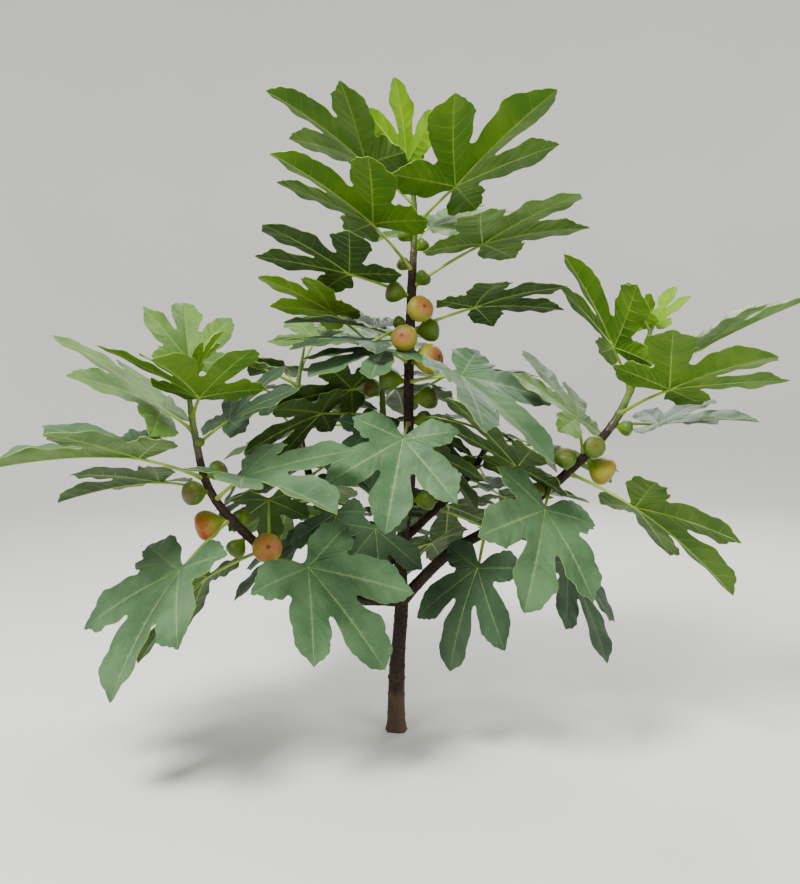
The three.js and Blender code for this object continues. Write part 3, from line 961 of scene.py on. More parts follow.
@dataclass(frozen=True)
class BladeRule:
    """The sizes that every blade shares, as shares of its length unless they say otherwise.

    A pair of waves or ripples gives the fewest and the most along half a lobe. The edge's teeth grow
    in between the two places, as shares of the edge, that toothed gives.
    """

    middle: Lobe = Lobe(0, 1.0, 0.2)
    side: Lobe = Lobe(43, 0.87, 0.17)
    base: Lobe = Lobe(103, 0.52, 0.15)
    middle_gap: Pair = (0.4, 21)
    side_gap: Pair = (0.3, 72)
    middle_edge: tuple[Pair, ...] = ((0.7, 1), (0.9, 0.66))
    side_near: tuple[Pair, ...] = ((0.8, 0.86),)
    side_outer: tuple[Pair, ...] = ((0.76, 0.98),)
    base_near: tuple[Pair, ...] = ((0.78, 0.86),)
    base_outer: tuple[Pair, ...] = ((0.36, 1), (0.7, 1))
    notch: float = 0.05
    vary_reach: float = 0.06
    vary_gap: float = 0.2
    vary_turn: float = 4
    cut_floor: Pair = (0.012, 0.02)
    cut_side: Pair = (0.10, 0.034)
    side_lean: float = 0.75
    side_follow: float = 0.75
    row_bow: float = 0.14
    droop: float = 0.10
    keel: float = 0.10
    quilt: float = 0.0045
    ripple: float = 0.012
    ripples: Pair = (1.6, 2.8)
    bend: float = 0.05
    bend_up: float = 0.4
    tooth: float = 0.010
    teeth: int = 7
    tooth_foot: float = 0.6
    vary_tooth: Pair = (0.8, 1.2)
    toothed: Pair = (0.25, 0.5)
    wave: float = 0.014
    waves: Pair = (1.4, 2.4)
    rib_fade: float = 2.4
    side_rib: float = 0.6
    thickness_mm: float = 0.8


class BladeGrid:
    """The net of points that every blade has: ten half lobes, each a grid from vein to edge.

    Rows run across a half lobe and columns along it. The first rows end on the line that two halves
    share, from the hub to the gap, and the rest end on the lobe's own edge.
    """

    INNER = 9
    OUTER = 28
    ACROSS = 5
    BESIDE_VEINS = 5
    LOBES = 5
    HALVES = 2 * LOBES
    PER_ROW = 10
    PER_HALF = 100
    ON_VEIN = 10000
    ON_LINE = 20000
    AT_HUB = 30000

    def __init__(self) -> None:
        """Numbers the points, joins those that halves share, and lists the triangles and the rim.

        Points that two halves share get the same key: on a lobe's vein, on the line to a gap, at a
        lobe's tip and at the hub.
        """
        self.rows = self.INNER + self.OUTER
        half, row, column = np.meshgrid(np.arange(self.HALVES), np.arange(self.rows + 1),
                                        np.arange(self.ACROSS + 1), indexing="ij")
        keys = (half * self.PER_HALF + row) * self.PER_ROW + column
        on_vein = self.ON_VEIN + self.lobe_of(half) * self.PER_HALF + row
        on_line = self.ON_LINE + (half // 2) * self.PER_HALF + row
        keys = np.where(column == 0, on_vein, keys)
        keys = np.where((column == self.ACROSS) & (row <= self.INNER), on_line, keys)
        keys = np.where(row == self.rows, on_vein, keys)
        keys = np.where(row == 0, self.AT_HUB, keys)
        _, self.first, back = np.unique(keys, return_index=True, return_inverse=True)
        number = back.reshape(keys.shape)
        self.count = len(self.first)
        corners = (number[:, :-1, :-1], number[:, 1:, :-1], number[:, 1:, 1:], number[:, :-1, 1:])
        quads = np.stack(corners, axis=-1)
        quads[1::2] = quads[1::2, ..., ::-1]
        quads = quads.reshape(-1, 4)
        faces = np.vstack([quads[:, [0, 1, 2]], quads[:, [0, 2, 3]]])
        whole = (faces[:, 0] != faces[:, 1]) & (faces[:, 1] != faces[:, 2]) & (faces[:, 2] != faces[:, 0])
        self.skin = faces[whole]
        edges = np.vstack([self.skin[:, [0, 1]], self.skin[:, [1, 2]], self.skin[:, [2, 0]]])
        forward = edges[:, 0] * self.count + edges[:, 1]
        backward = edges[:, 1] * self.count + edges[:, 0]
        self.rim = edges[~np.isin(forward, backward)]

    def lobe_of(self, half: Array) -> Array:
        """Returns the number of the lobe that each half belongs to."""
        return (half + 1) // 2 % self.LOBES

    def closed_faces(self) -> tuple[Array, int]:
        """Returns the triangles of upper skin, lower skin and rim, and how many are the upper skin's."""
        a, b = self.rim.T
        under_a, under_b = a + self.count, b + self.count
        wall = np.vstack([np.stack([b, a, under_a], axis=1), np.stack([b, under_a, under_b], axis=1)])
        return np.vstack([self.skin, self.skin[:, ::-1] + self.count, wall]), len(self.skin)


class Blade:
    """One leaf's blade, with its own drawn differences, as a function from net to space."""

    RULE = BladeRule()
    GRID = BladeGrid()
    LEAST_START = 0.08
    LEAST_STEP = 0.001

    def __init__(self, leaf: Leaf, hub: Array, draws: Iterator[float], seed: int) -> None:
        """Works out the blade's points.

        Args:
            leaf: the leaf's sizes and how it is held.
            hub: where the stalk meets the blade.
            draws: the stream that the leaf's differences come from.
            seed: what the finer differences, which the solids don't have, are drawn from.
        """
        self.leaf = leaf
        self.hub = hub
        self.finer = np.random.default_rng(seed)
        self.halves = self._halves(draws)
        bearing, roll = leaf.bearing + leaf.turn, math.radians(leaf.roll)
        self.ahead = direction(bearing, leaf.pitch)
        level = direction(bearing + 90, 0)
        up = np.cross(self.ahead, level)
        self.aside = level * math.cos(roll) + up * math.sin(roll)
        self.above = up * math.cos(roll) - level * math.sin(roll)
        self.flat, self.rise, self.rib = self._net()

    def _halves(self, draws: Iterator[float]) -> list[Half]:
        """Draws the leaf's differences in the solids' order.

        Args:
            draws: the stream that they come from.

        Returns:
            The ten half lobes, from the midrib round to it again.
        """
        rule = self.RULE
        depth = 1 + rule.vary_gap * (2 * next(draws) - 1)
        spread = rule.vary_turn * (2 * next(draws) - 1)
        reaches = [1 + rule.vary_reach * (2 * next(draws) - 1) for _ in range(4)]
        sides = []
        for sign, side_reach, base_reach in ((1, *reaches[:2]), (-1, *reaches[2:])):
            side = Lobe(rule.side.turn + spread, rule.side.reach * side_reach, rule.side.width)
            base = Lobe(rule.base.turn + spread, rule.base.reach * base_reach, rule.base.width)
            first = (rule.middle_gap[0] * depth, rule.middle_gap[1] + spread / 2)
            second = (rule.side_gap[0] * depth, rule.side_gap[1] + spread / 2)
            notch = (rule.notch, 180.0)
            sides.append([
                Half(sign, rule.middle, 1, first, rule.middle.width, rule.middle_edge, True),
                Half(sign, side, -1, first, rule.middle.width, rule.side_near, True),
                Half(sign, side, 1, second, rule.side.width, rule.side_outer, True),
                Half(sign, base, -1, second, rule.side.width, rule.base_near, True),
                Half(sign, base, 1, notch, 0.0, rule.base_outer, False),
            ])
        return sides[0] + sides[1][::-1]

    def _edge(self, half: Half) -> tuple[Array, Array]:
        """Works out the edge of a half lobe in the lobe's own space, x along its vein and y out.

        From the gap it turns through the rounded floor of the cut, runs on close to the line that the
        two halves share for a share of the lobe's reach, then swings out round the lobe's shoulder and
        back in to its pointed tip.

        Args:
            half: the half lobe.

        Returns:
            The gap, and the edge's points after it, one to each outer row.
        """
        rule, lobe = self.RULE, half.lobe
        apart = math.radians(abs(half.gap[1] - lobe.turn))
        line = np.array([math.cos(apart), math.sin(apart)])
        inward = np.array([math.sin(apart), -math.cos(apart)])
        gap = half.gap[0] * line
        cut = [gap + lobe.reach * on * line + off * inward for on, off in (rule.cut_floor, rule.cut_side)]
        shoulder = np.array(half.points) * (lobe.reach, lobe.width)
        points = np.vstack([gap, *(cut if half.cut else []), shoulder, [lobe.reach, 0.0]])
        ghost = 2 * (points[1] @ line) * line - points[1]
        return gap, Curve(points, before=ghost).at(np.arange(1, self.GRID.OUTER + 1) / self.GRID.OUTER)

    def _vein_places(self, edges: list[tuple[Array, Array]]) -> Array:
        """Works out how far along each lobe's vein its rows start.

        A row that ends at x along and y out starts where a line that leans forward to there leaves the
        vein, taken between the lobe's two halves, and never less far out than the row before.

        Args:
            edges: the gap and edge of each half lobe.

        Returns:
            A row of places for each lobe.
        """
        grid, lean, follow = self.GRID, self.RULE.side_lean, self.RULE.side_follow
        inner = np.arange(grid.INNER + 1) / grid.INNER
        places = []
        for lobe in range(grid.LOBES):
            pair = [edges[index] for index in ((2 * lobe - 1) % grid.HALVES, 2 * lobe)]
            reach = pair[0][1][-1, 0]
            starts = np.mean([rim[:, 0] - lean * rim[:, 1] for _, rim in pair], axis=0)
            first = max(np.mean([gap[0] - lean * gap[1] for gap, _ in pair]), self.LEAST_START * reach)
            even = np.linspace(first, reach, grid.OUTER + 1)[1:]
            blend = follow * starts + (1 - follow) * even
            outer = np.maximum.accumulate(np.maximum(blend, first + self.LEAST_STEP))
            places.append(np.concatenate([first * inner, np.minimum(outer, reach)]))
        return np.array(places)

    def _half_net(self, half: Half, edge: tuple[Array, Array], vein: Array) -> tuple[Array, Array]:
        """Works out one half lobe's net.

        Each row runs from its place on the vein to its end on the line to the gap or on the edge, and
        bows a little towards the hub. The edge is pushed in and out by teeth and by a slower wave.

        Args:
            half: the half lobe.
            edge: its gap and edge.
            vein: how far along the vein each row starts.

        Returns:
            The flat place and the rise of each point of the net.
        """
        rule, grid = self.RULE, self.GRID
        turn = math.radians(half.lobe.turn)
        gap, rim = edge
        outward = np.arange(1, grid.OUTER + 1) / grid.OUTER
        way = unit(np.gradient(np.vstack([gap, rim]), axis=0))[1:]
        crenate = np.abs(np.sin(np.pi * rule.teeth * outward)) - rule.tooth_foot
        waves = 2 * np.pi * self.finer.uniform(*rule.waves) * outward
        wave = np.sin(waves + self.finer.uniform(0, 2 * np.pi))
        window = smooth_step(*rule.toothed, outward) * (outward < 1)
        push = window * (rule.tooth * crenate * self.finer.uniform(*rule.vary_tooth)
                         + rule.wave * wave * np.sin(np.pi * outward))
        rim = rim + push[:, None] * np.stack([-way[:, 1], way[:, 0]], axis=1)
        inward = np.arange(grid.INNER + 1)[:, None] / grid.INNER
        ends = np.vstack([gap * inward, rim])
        starts = np.stack([vein, np.zeros(grid.rows + 1)], axis=1)
        across = (np.arange(grid.ACROSS + 1) / grid.ACROSS)[None, :]
        place = starts[:, None] * (1 - across)[..., None] + ends[:, None] * across[..., None]
        row = np.arange(grid.rows + 1)[:, None]
        place[..., 0] -= rule.row_bow * np.abs(ends[:, 1:]) * across * (1 - across) * (row > 0) * 2
        beyond = np.concatenate([np.zeros(grid.INNER + 1), outward])[:, None]
        within = np.minimum(row / grid.INNER, 1)
        start = half.lift - gap[1]
        off_edge = np.where(row <= grid.INNER, half.lift * within,
                            ends[:, 1:] + start * (1 - beyond) ** 3)
        rise = rule.keel * np.maximum(off_edge, 0) * across
        spacing = np.sin(np.pi * row / grid.BESIDE_VEINS) ** 2
        rise = rise + rule.quilt * spacing * np.sin(np.pi * across) ** 0.7 * np.minimum(row / 5, 1)
        phase, count = self.finer.uniform(0, 2 * np.pi), self.finer.uniform(*rule.ripples)
        rise = rise + (rule.ripple * across ** 2 * np.sin(np.pi * beyond)
                       * np.sin(2 * np.pi * count * beyond + phase))
        x, y = place[..., 0], half.hand * place[..., 1]
        flat = np.stack([x * math.cos(turn) - y * math.sin(turn),
                         half.side * (x * math.sin(turn) + y * math.cos(turn))], axis=-1)
        return flat, rise

    def _net(self) -> tuple[Array, Array, Array]:
        """Returns the flat place, rise and nearness to a vein of every point of the net."""
        rule, grid = self.RULE, self.GRID
        edges = [self._edge(half) for half in self.halves]
        lobe = grid.lobe_of(np.arange(grid.HALVES))
        veins = self._vein_places(edges)[lobe]
        nets = [self._half_net(*each) for each in zip(self.halves, edges, veins)]
        flat, rise = (np.stack(parts) for parts in zip(*nets))
        row = np.arange(grid.rows + 1)
        beyond = np.clip((row - grid.INNER) / grid.OUTER, 0, 1)
        bends = self.finer.uniform(-rule.bend, rule.bend * rule.bend_up, grid.LOBES)
        rise = rise + bends[lobe][:, None, None] * (beyond ** 2)[None, :, None]
        rise = rise + self.leaf.cup * np.abs(flat[..., 1]) - rule.droop * (flat ** 2).sum(axis=-1)
        column = np.arange(grid.ACROSS + 1)
        main = np.exp(-column * rule.rib_fade)[None, :]
        side = rule.side_rib * (row % grid.BESIDE_VEINS == 0)[:, None] * (column < grid.ACROSS)[None, :]
        rib = np.broadcast_to(np.maximum(main, side), flat.shape[:3])
        return flat, rise, rib

    def space(self, flat: Array, rise: Array) -> Array:
        """Returns points in space for flat places and rises that are shares of the blade."""
        size = self.leaf.blade
        return (self.hub + size * (flat[..., :1] * self.ahead + flat[..., 1:] * self.aside
                                   + rise[..., None] * self.above))

    def middle(self) -> Array:
        """Returns the points half way through the blade's thickness."""
        return self.space(self.flat, self.rise).reshape(-1, 3)[self.GRID.first]

    def skins(self) -> tuple[Array, Array]:
        """Returns the points of the upper skin, then of the lower, and their nearness to a vein."""
        grid = self.GRID
        middle = self.middle()
        normal = self._normals(middle)
        half = self.RULE.thickness_mm / 2
        rib = self.rib.reshape(-1)[grid.first]
        return np.vstack([middle + half * normal, middle - half * normal]), np.tile(rib, 2)

    def _normals(self, middle: Array) -> Array:
        """Works out each point's normal: the sum of its triangles' normals, weighed by their areas.

        Args:
            middle: the points half way through the blade's thickness.

        Returns:
            The normals.
        """
        corners = middle[self.GRID.skin]
        crossed = np.cross(corners[:, 1] - corners[:, 0], corners[:, 2] - corners[:, 0])
        total = np.zeros_like(middle)
        for corner in range(3):
            np.add.at(total, self.GRID.skin[:, corner], crossed)
        return unit(total)

    def main_vein(self, lobe: int) -> Array:
        """Returns the points along the vein of a lobe, from the hub to its tip."""
        half = 2 * lobe
        return self.space(self.flat[half, :, 0], self.rise[half, :, 0])

    def side_vein(self, half: int, row: int) -> Array:
        """Returns the points along a side vein, from the lobe's vein nearly to its edge."""
        return self.space(self.flat[half, row], self.rise[half, row])


@dataclass(frozen=True)
class Sprout:
    """A leaf that grows from a limb: its station, its seed, and whether it stands inside the crown."""

    limb: Limb
    station: Station
    seed: int
    inside: bool = False

    @property
    def root(self) -> Array:
        """Returns where its stalk starts, in the middle of its limb."""
        return self.limb.point(self.station.at)

    @property
    def hub(self) -> Array:
        """Returns where its stalk meets its blade."""
        leaf = self.station.leaf
        return self.root + leaf.stalk * direction(leaf.bearing, leaf.rise)

    def blade(self) -> Blade:
        """Returns its blade, shaped by the stream of differences that its seed starts."""
        return Blade(self.station.leaf, self.hub, stream(self.seed), self.seed)


@dataclass(frozen=True)
class LeafMaker:
    """Grows the leaves of one limb into three pieces: their blades, veins and stalks.

    The veins' radii are shares of the blade, and how far they stand above the upper skin and below
    the lower one are shares of their radii. The stalk's radii are those of a full-grown leaf.
    """

    blades: Piece
    veins: Piece
    stalks: Piece
    main_radii: Pair = (0.0080, 0.0016)
    main_shares: tuple[float, ...] = (1.0, 0.85, 0.6, 0.6, 0.85)
    main_proud: Pair = (0.12, 0.85)
    main_sides: int = 8
    side_radii: Pair = (0.0020, 0.0008)
    side_proud: Pair = (-0.12, 0.8)
    side_sides: int = 4
    stalk_root: float = 3.4
    stalk_end: float = 2.1
    stalk_point: float = 1.1
    stalk_foot: float = 1.6
    foot_length: float = 5
    foot_fade: float = 11
    least_size: float = 0.35
    size_gain: float = 230
    under_blade: float = 0.09
    under_places: tuple[float, ...] = (0.5, 0.85, 1.0)
    under_radii: tuple[float, ...] = (1.8, 1.4, 0.6)
    sunk: float = 0.6
    risen: float = 0.25
    flatness: float = 0.94
    arch: float = 0.05
    young_blade: float = 80
    young_stem: float = 25
    # Painted light: a leaf held up at least this steeply gets painted sunlight, and one inside the crown, or
    # behind it within the shade depths and lower than shade_top, gets painted shade.
    sunlit_pitch: float = 18
    shade: Pair = (25, 170)
    shade_top: float = 640
    stalk_sides: int = 10
    stalk_steps: int = 14

    @classmethod
    def start(cls, name: str, finishes: "Finishes") -> "LeafMaker":
        """Starts a limb's pieces, empty.

        Args:
            name: the limb's name.
            finishes: every finish.

        Returns:
            The maker, whose pieces name the solids that hold the limb's leaves.
        """
        sprays = [f"spray_{name}_{k + 1}" for k in range(len(STATIONS[name]))]
        nodes = tuple(node for node in (*sprays, f"crown_{name}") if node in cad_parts)
        return cls(
            Piece(f"blades_{name}", "leaf", nodes, (*finishes.blades, finishes.veins[0]), ("rib", "foot")),
            Piece(f"veins_{name}", "leaf", nodes, finishes.veins, ("foot",)),
            Piece(f"stalks_{name}", "leaf", nodes, finishes.stalks, ("foot",)),
        )

    def build(self) -> None:
        """Makes the limb's pieces."""
        for piece in (self.blades, self.veins, self.stalks):
            piece.build()

    def grow(self, sprout: Sprout) -> None:
        """Adds one leaf to the limb's pieces.

        Args:
            sprout: the leaf.
        """
        blade, tint = sprout.blade(), self.tint(sprout)
        self._add_blade(blade, tint)
        self._add_veins(blade, tint, sprout.inside)
        self._add_stalk(sprout, blade)

    def tint(self, sprout: Sprout) -> Tint:
        """Chooses a leaf's tint: young by its size and place on the limb, painted shade by where it stands,
        and painted sunlight by how steeply it is held up.

        Args:
            sprout: the leaf.

        Returns:
            The tint.
        """
        station, leaf = sprout.station, sprout.station.leaf
        _, back, high = sprout.hub
        if leaf.blade < self.young_blade or station.at > sprout.limb.length - self.young_stem:
            return Tint.YOUNG
        if station.shaded:
            return Tint.SHADED
        if leaf.pitch >= self.sunlit_pitch:
            return Tint.SUNLIT
        # Painted shade for a leaf inside the crown, or behind it, that stands low.
        deep = (sprout.inside or back > self.shade[0]) and back < self.shade[1] and high < self.shade_top
        return Tint.SHADED if deep else Tint.MATURE

    def _add_blade(self, blade: Blade, tint: Tint) -> None:
        """Adds the blade's two skins and rim, each skin in its own finish.

        Args:
            blade: the leaf's blade.
            tint: its tint.
        """
        spots, rib = blade.skins()
        faces, upper = Blade.GRID.closed_faces()
        number = 2 * list(Tint).index(tint)
        order = np.arange(len(faces))
        finish = np.where(order < upper, number, np.where(order < 2 * upper, number + 1, 2 * len(Tint)))
        self.blades.add(spots, faces, finish, rib=rib)

    def _add_veins(self, blade: Blade, tint: Tint, inside: bool) -> None:
        """Adds the veins of the lobes and, on a leaf that isn't inside, the side veins that leave them.

        A lobe's vein stands a little above the upper skin and well below the lower one. A side vein
        stands out below only.

        Args:
            blade: the leaf's blade.
            tint: its tint.
            inside: whether it stands inside the crown.
        """
        grid, size = Blade.GRID, blade.leaf.blade
        finish = 1 if tint is Tint.YOUNG else 0
        for lobe, share in enumerate(self.main_shares):
            line = blade.main_vein(lobe)[np.r_[0:grid.rows:2, grid.rows]]
            wide = np.linspace(*self.main_radii, len(line)) * size * share
            self._add_vein(line, wide, self.main_proud, self.main_sides, blade, finish)
        for index in range(0 if inside else grid.HALVES):
            for row in range(grid.BESIDE_VEINS, grid.rows - grid.BESIDE_VEINS + 1, grid.BESIDE_VEINS):
                line = blade.side_vein(index, row)[: None if row > grid.INNER else -1]
                wide = np.linspace(*self.side_radii, len(line)) * size
                self._add_vein(line, wide, self.side_proud, self.side_sides, blade, finish)

    def _add_vein(self, line: Array, wide: Array, proud: Pair, sides: int, blade: Blade,
                  finish: int) -> None:
        """Adds one vein.

        Args:
            line: points along it, in the middle of the blade.
            wide: its half width at each point.
            proud: how far it stands above the upper skin and below the lower, as shares of that.
            sides: the number of sides of the tube.
            blade: the blade it runs in.
            finish: the number of its finish.
        """
        half = Blade.RULE.thickness_mm / 2
        top, foot = half + proud[0] * wide, half + proud[1] * wide
        middle = line + (0.5 * (top - foot))[:, None] * blade.above
        spots, faces = tube(middle, 0.5 * (top + foot), wide, sides, blade.above)
        self.veins.add(spots, faces, finish)

    def _add_stalk(self, sprout: Sprout, blade: Blade) -> None:
        """Adds the stalk: from inside the limb, arching to the hub, then on under the blade.

        Args:
            sprout: the leaf.
            blade: its blade.
        """
        leaf, root = blade.leaf, sprout.root
        size = min(1.0, self.least_size + leaf.blade / self.size_gain)
        end = blade.hub - self.stalk_end * self.sunk * size * blade.above
        bend = (root + blade.hub) / 2 + np.array([0, 0, self.arch * leaf.stalk])
        share = np.linspace(0, 1, self.stalk_steps)[:, None]
        arc = (1 - share) ** 2 * root + 2 * share * (1 - share) * bend + share ** 2 * end
        on = np.array(self.under_places)[:, None] * self.under_blade * leaf.blade
        rise = self.risen * size * self.stalk_end * (on / on[-1])
        line = np.vstack([arc, end + on * blade.ahead + rise * blade.above])
        off_skin = share[:, 0] * leaf.stalk - sprout.limb.radius(sprout.station.at)
        swell = self.stalk_foot * np.exp(-(off_skin / self.foot_length) ** 2)
        radii = np.concatenate([
            (self.stalk_root + (self.stalk_end - self.stalk_root) * share[:, 0] ** 0.7 + swell) * size,
            np.array(self.under_radii) * self.stalk_point * size,
        ])
        spots, faces = tube(line, radii * self.flatness, radii, self.stalk_sides, np.array([0, 0, 1.0]))
        foot = np.exp(-np.linalg.norm(spots - root, axis=1) / self.foot_fade)
        self.stalks.add(spots, faces, 0, foot=foot)


# Figs


@dataclass
class FigMaker:
    """Grows every fig as a turned body with faint ribs, into a green piece and a ripe one.

    The profile gives radius and height as shares of the fig's width. The fields from rosy on say how strong
    the face round the eye and the flush are, the ripe figs' by their height above the ground: less flush
    higher up, partly their own ripening and partly painted sunlight on the higher figs.
    """

    PROFILE = ((0.0, 0.0), (0.085, 0.0), (0.1, 0.05), (0.11, 0.11), (0.18, 0.2), (0.325, 0.34),
               (0.45, 0.52), (0.5, 0.7), (0.48, 0.86), (0.395, 0.98), (0.25, 1.05), (0.12, 1.065),
               (0.075, 1.08), (0.0, 1.065))
    TOP = 1.06
    BODY_TOP = 1.05
    SIDE_LEAD = (0.3, 0.2, 1.0)
    finishes: "Finishes"
    sunk: float = 1.5
    rows: int = 40
    sides: int = 36
    ribs: int = 11
    rib_depth: float = 0.018
    lopsided: float = 0.03
    eye_size: Pair = (0.05, 0.1)
    eye_starts: float = 0.8
    face_size: Pair = (0.24, 0.5)
    face_starts: Pair = (0.72, 0.92)
    cracks: float = 4.5
    crack_wander: float = 2
    crack_thinness: int = 8
    rosy: float = 0.4
    green_blush: float = 0.32
    ripe_blush: tuple[Pair, ...] = ((350, 1.15), (420, 0.66), (640, 0.42))
    vary_blush: float = 0.14

    def grow_all(self, limbs: dict[str, Limb]) -> None:
        """Makes the two pieces.

        Args:
            limbs: every limb by name.
        """
        for ripe, kind in ((0, "fig_green"), (1, "fig_ripe")):
            grown = [(name, number, station) for name, stations in STATIONS.items()
                     for number, station in enumerate(stations) if station.fig and station.fig.ripe == ripe]
            nodes = dict.fromkeys(self._node(name, number, station) for name, number, station in grown)
            piece = Piece(f"figs_{kind[4:]}", kind, tuple(nodes), (self.finishes.figs[kind],),
                          ("along", "eye", "streak", "blush"))
            for name, number, station in grown:
                self._grow(limbs[name], station, number + 31 * len(name), piece)
            piece.build()

    def _node(self, name: str, number: int, station: Station) -> str:
        """Returns the solid that holds a fig: its own, its leaf's spray or the limb's crown."""
        for node in (f"fig_{name}_{number + 1}", f"spray_{name}_{number + 1}"):
            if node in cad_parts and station.at <= ROUTES[name].woody:
                return node
        return f"crown_{name}"

    def _grow(self, limb: Limb, station: Station, seed: int, piece: Piece) -> None:
        """Adds a fig: its profile turned about its way, each ring ribbed and a little uneven.

        Args:
            limb: the limb it grows from.
            station: where it grows, and its sizes.
            seed: the seed of its own unevenness.
            piece: the piece it joins.
        """
        fig = station.fig
        draws = np.random.default_rng(seed)
        way = direction(fig.bearing, fig.rise)
        side = unit(np.cross(way, self.SIDE_LEAD))
        across = np.cross(way, side)
        outline = Curve(np.array(self.PROFILE)).at(np.linspace(0, 1, self.rows))
        radius, height = outline[:, :1], outline[:, 1:]
        turns = ring_turns(self.sides)[None, :]
        body = np.sin(np.pi * np.clip(height / self.BODY_TOP, 0, 1))
        ribbed = 1 + self.rib_depth * body * np.cos(self.ribs * turns + phase(draws))
        lopsided = 1 + self.lopsided * body * np.cos(turns + phase(draws))
        out = np.maximum(radius, 0) * ribbed * lopsided * fig.width
        root = limb.point(station.at) + way * (limb.radius(station.at) - self.sunk)
        rings = ring_spots(root + height * fig.width * way, side[None], across[None], out, out, turns)
        inner = rings[1:-1].reshape(-1, 3)
        spots = np.vstack([inner, root[None], root + height[-1] * fig.width * way])
        along = np.repeat(np.clip(height[1:-1, 0] / self.TOP, 0, 1), self.sides)
        reach = np.repeat(radius[1:-1, 0], self.sides)
        eye = (1 - smooth_step(*self.eye_size, reach)) * (along > self.eye_starts)
        wander = self.crack_wander * np.sin(2 * turns + phase(draws))
        crack = np.cos(self.cracks * turns + wander) ** self.crack_thinness
        near_eye = smooth_step(*self.face_starts, along) * (1 - smooth_step(*self.face_size, reach))
        streak = near_eye * (self.rosy + (1 - self.rosy) * np.tile(crack[0], self.rows - 2))
        # The ripe figs' flush fades with height: partly their own ripening, partly painted sunlight that
        # pales the higher figs.
        ripeness_and_sunlight = np.interp(root[2], *np.array(self.ripe_blush).T) if fig.ripe else self.green_blush
        blush = ripeness_and_sunlight + draws.uniform(-self.vary_blush, self.vary_blush)
        piece.add(spots, ring_faces(self.rows - 2, self.sides), 0, along=np.append(along, [0, 1]),
                  eye=np.append(eye, [0, 1]), streak=np.append(streak, [0, 0]),
                  blush=np.full(len(spots), blush))


# Wood


@dataclass(frozen=True)
class Scar:
    """A ring round a limb where a bud scale or a leaf once was, with the leaf's own pad on one side."""

    at: float
    turn: float
    size: float


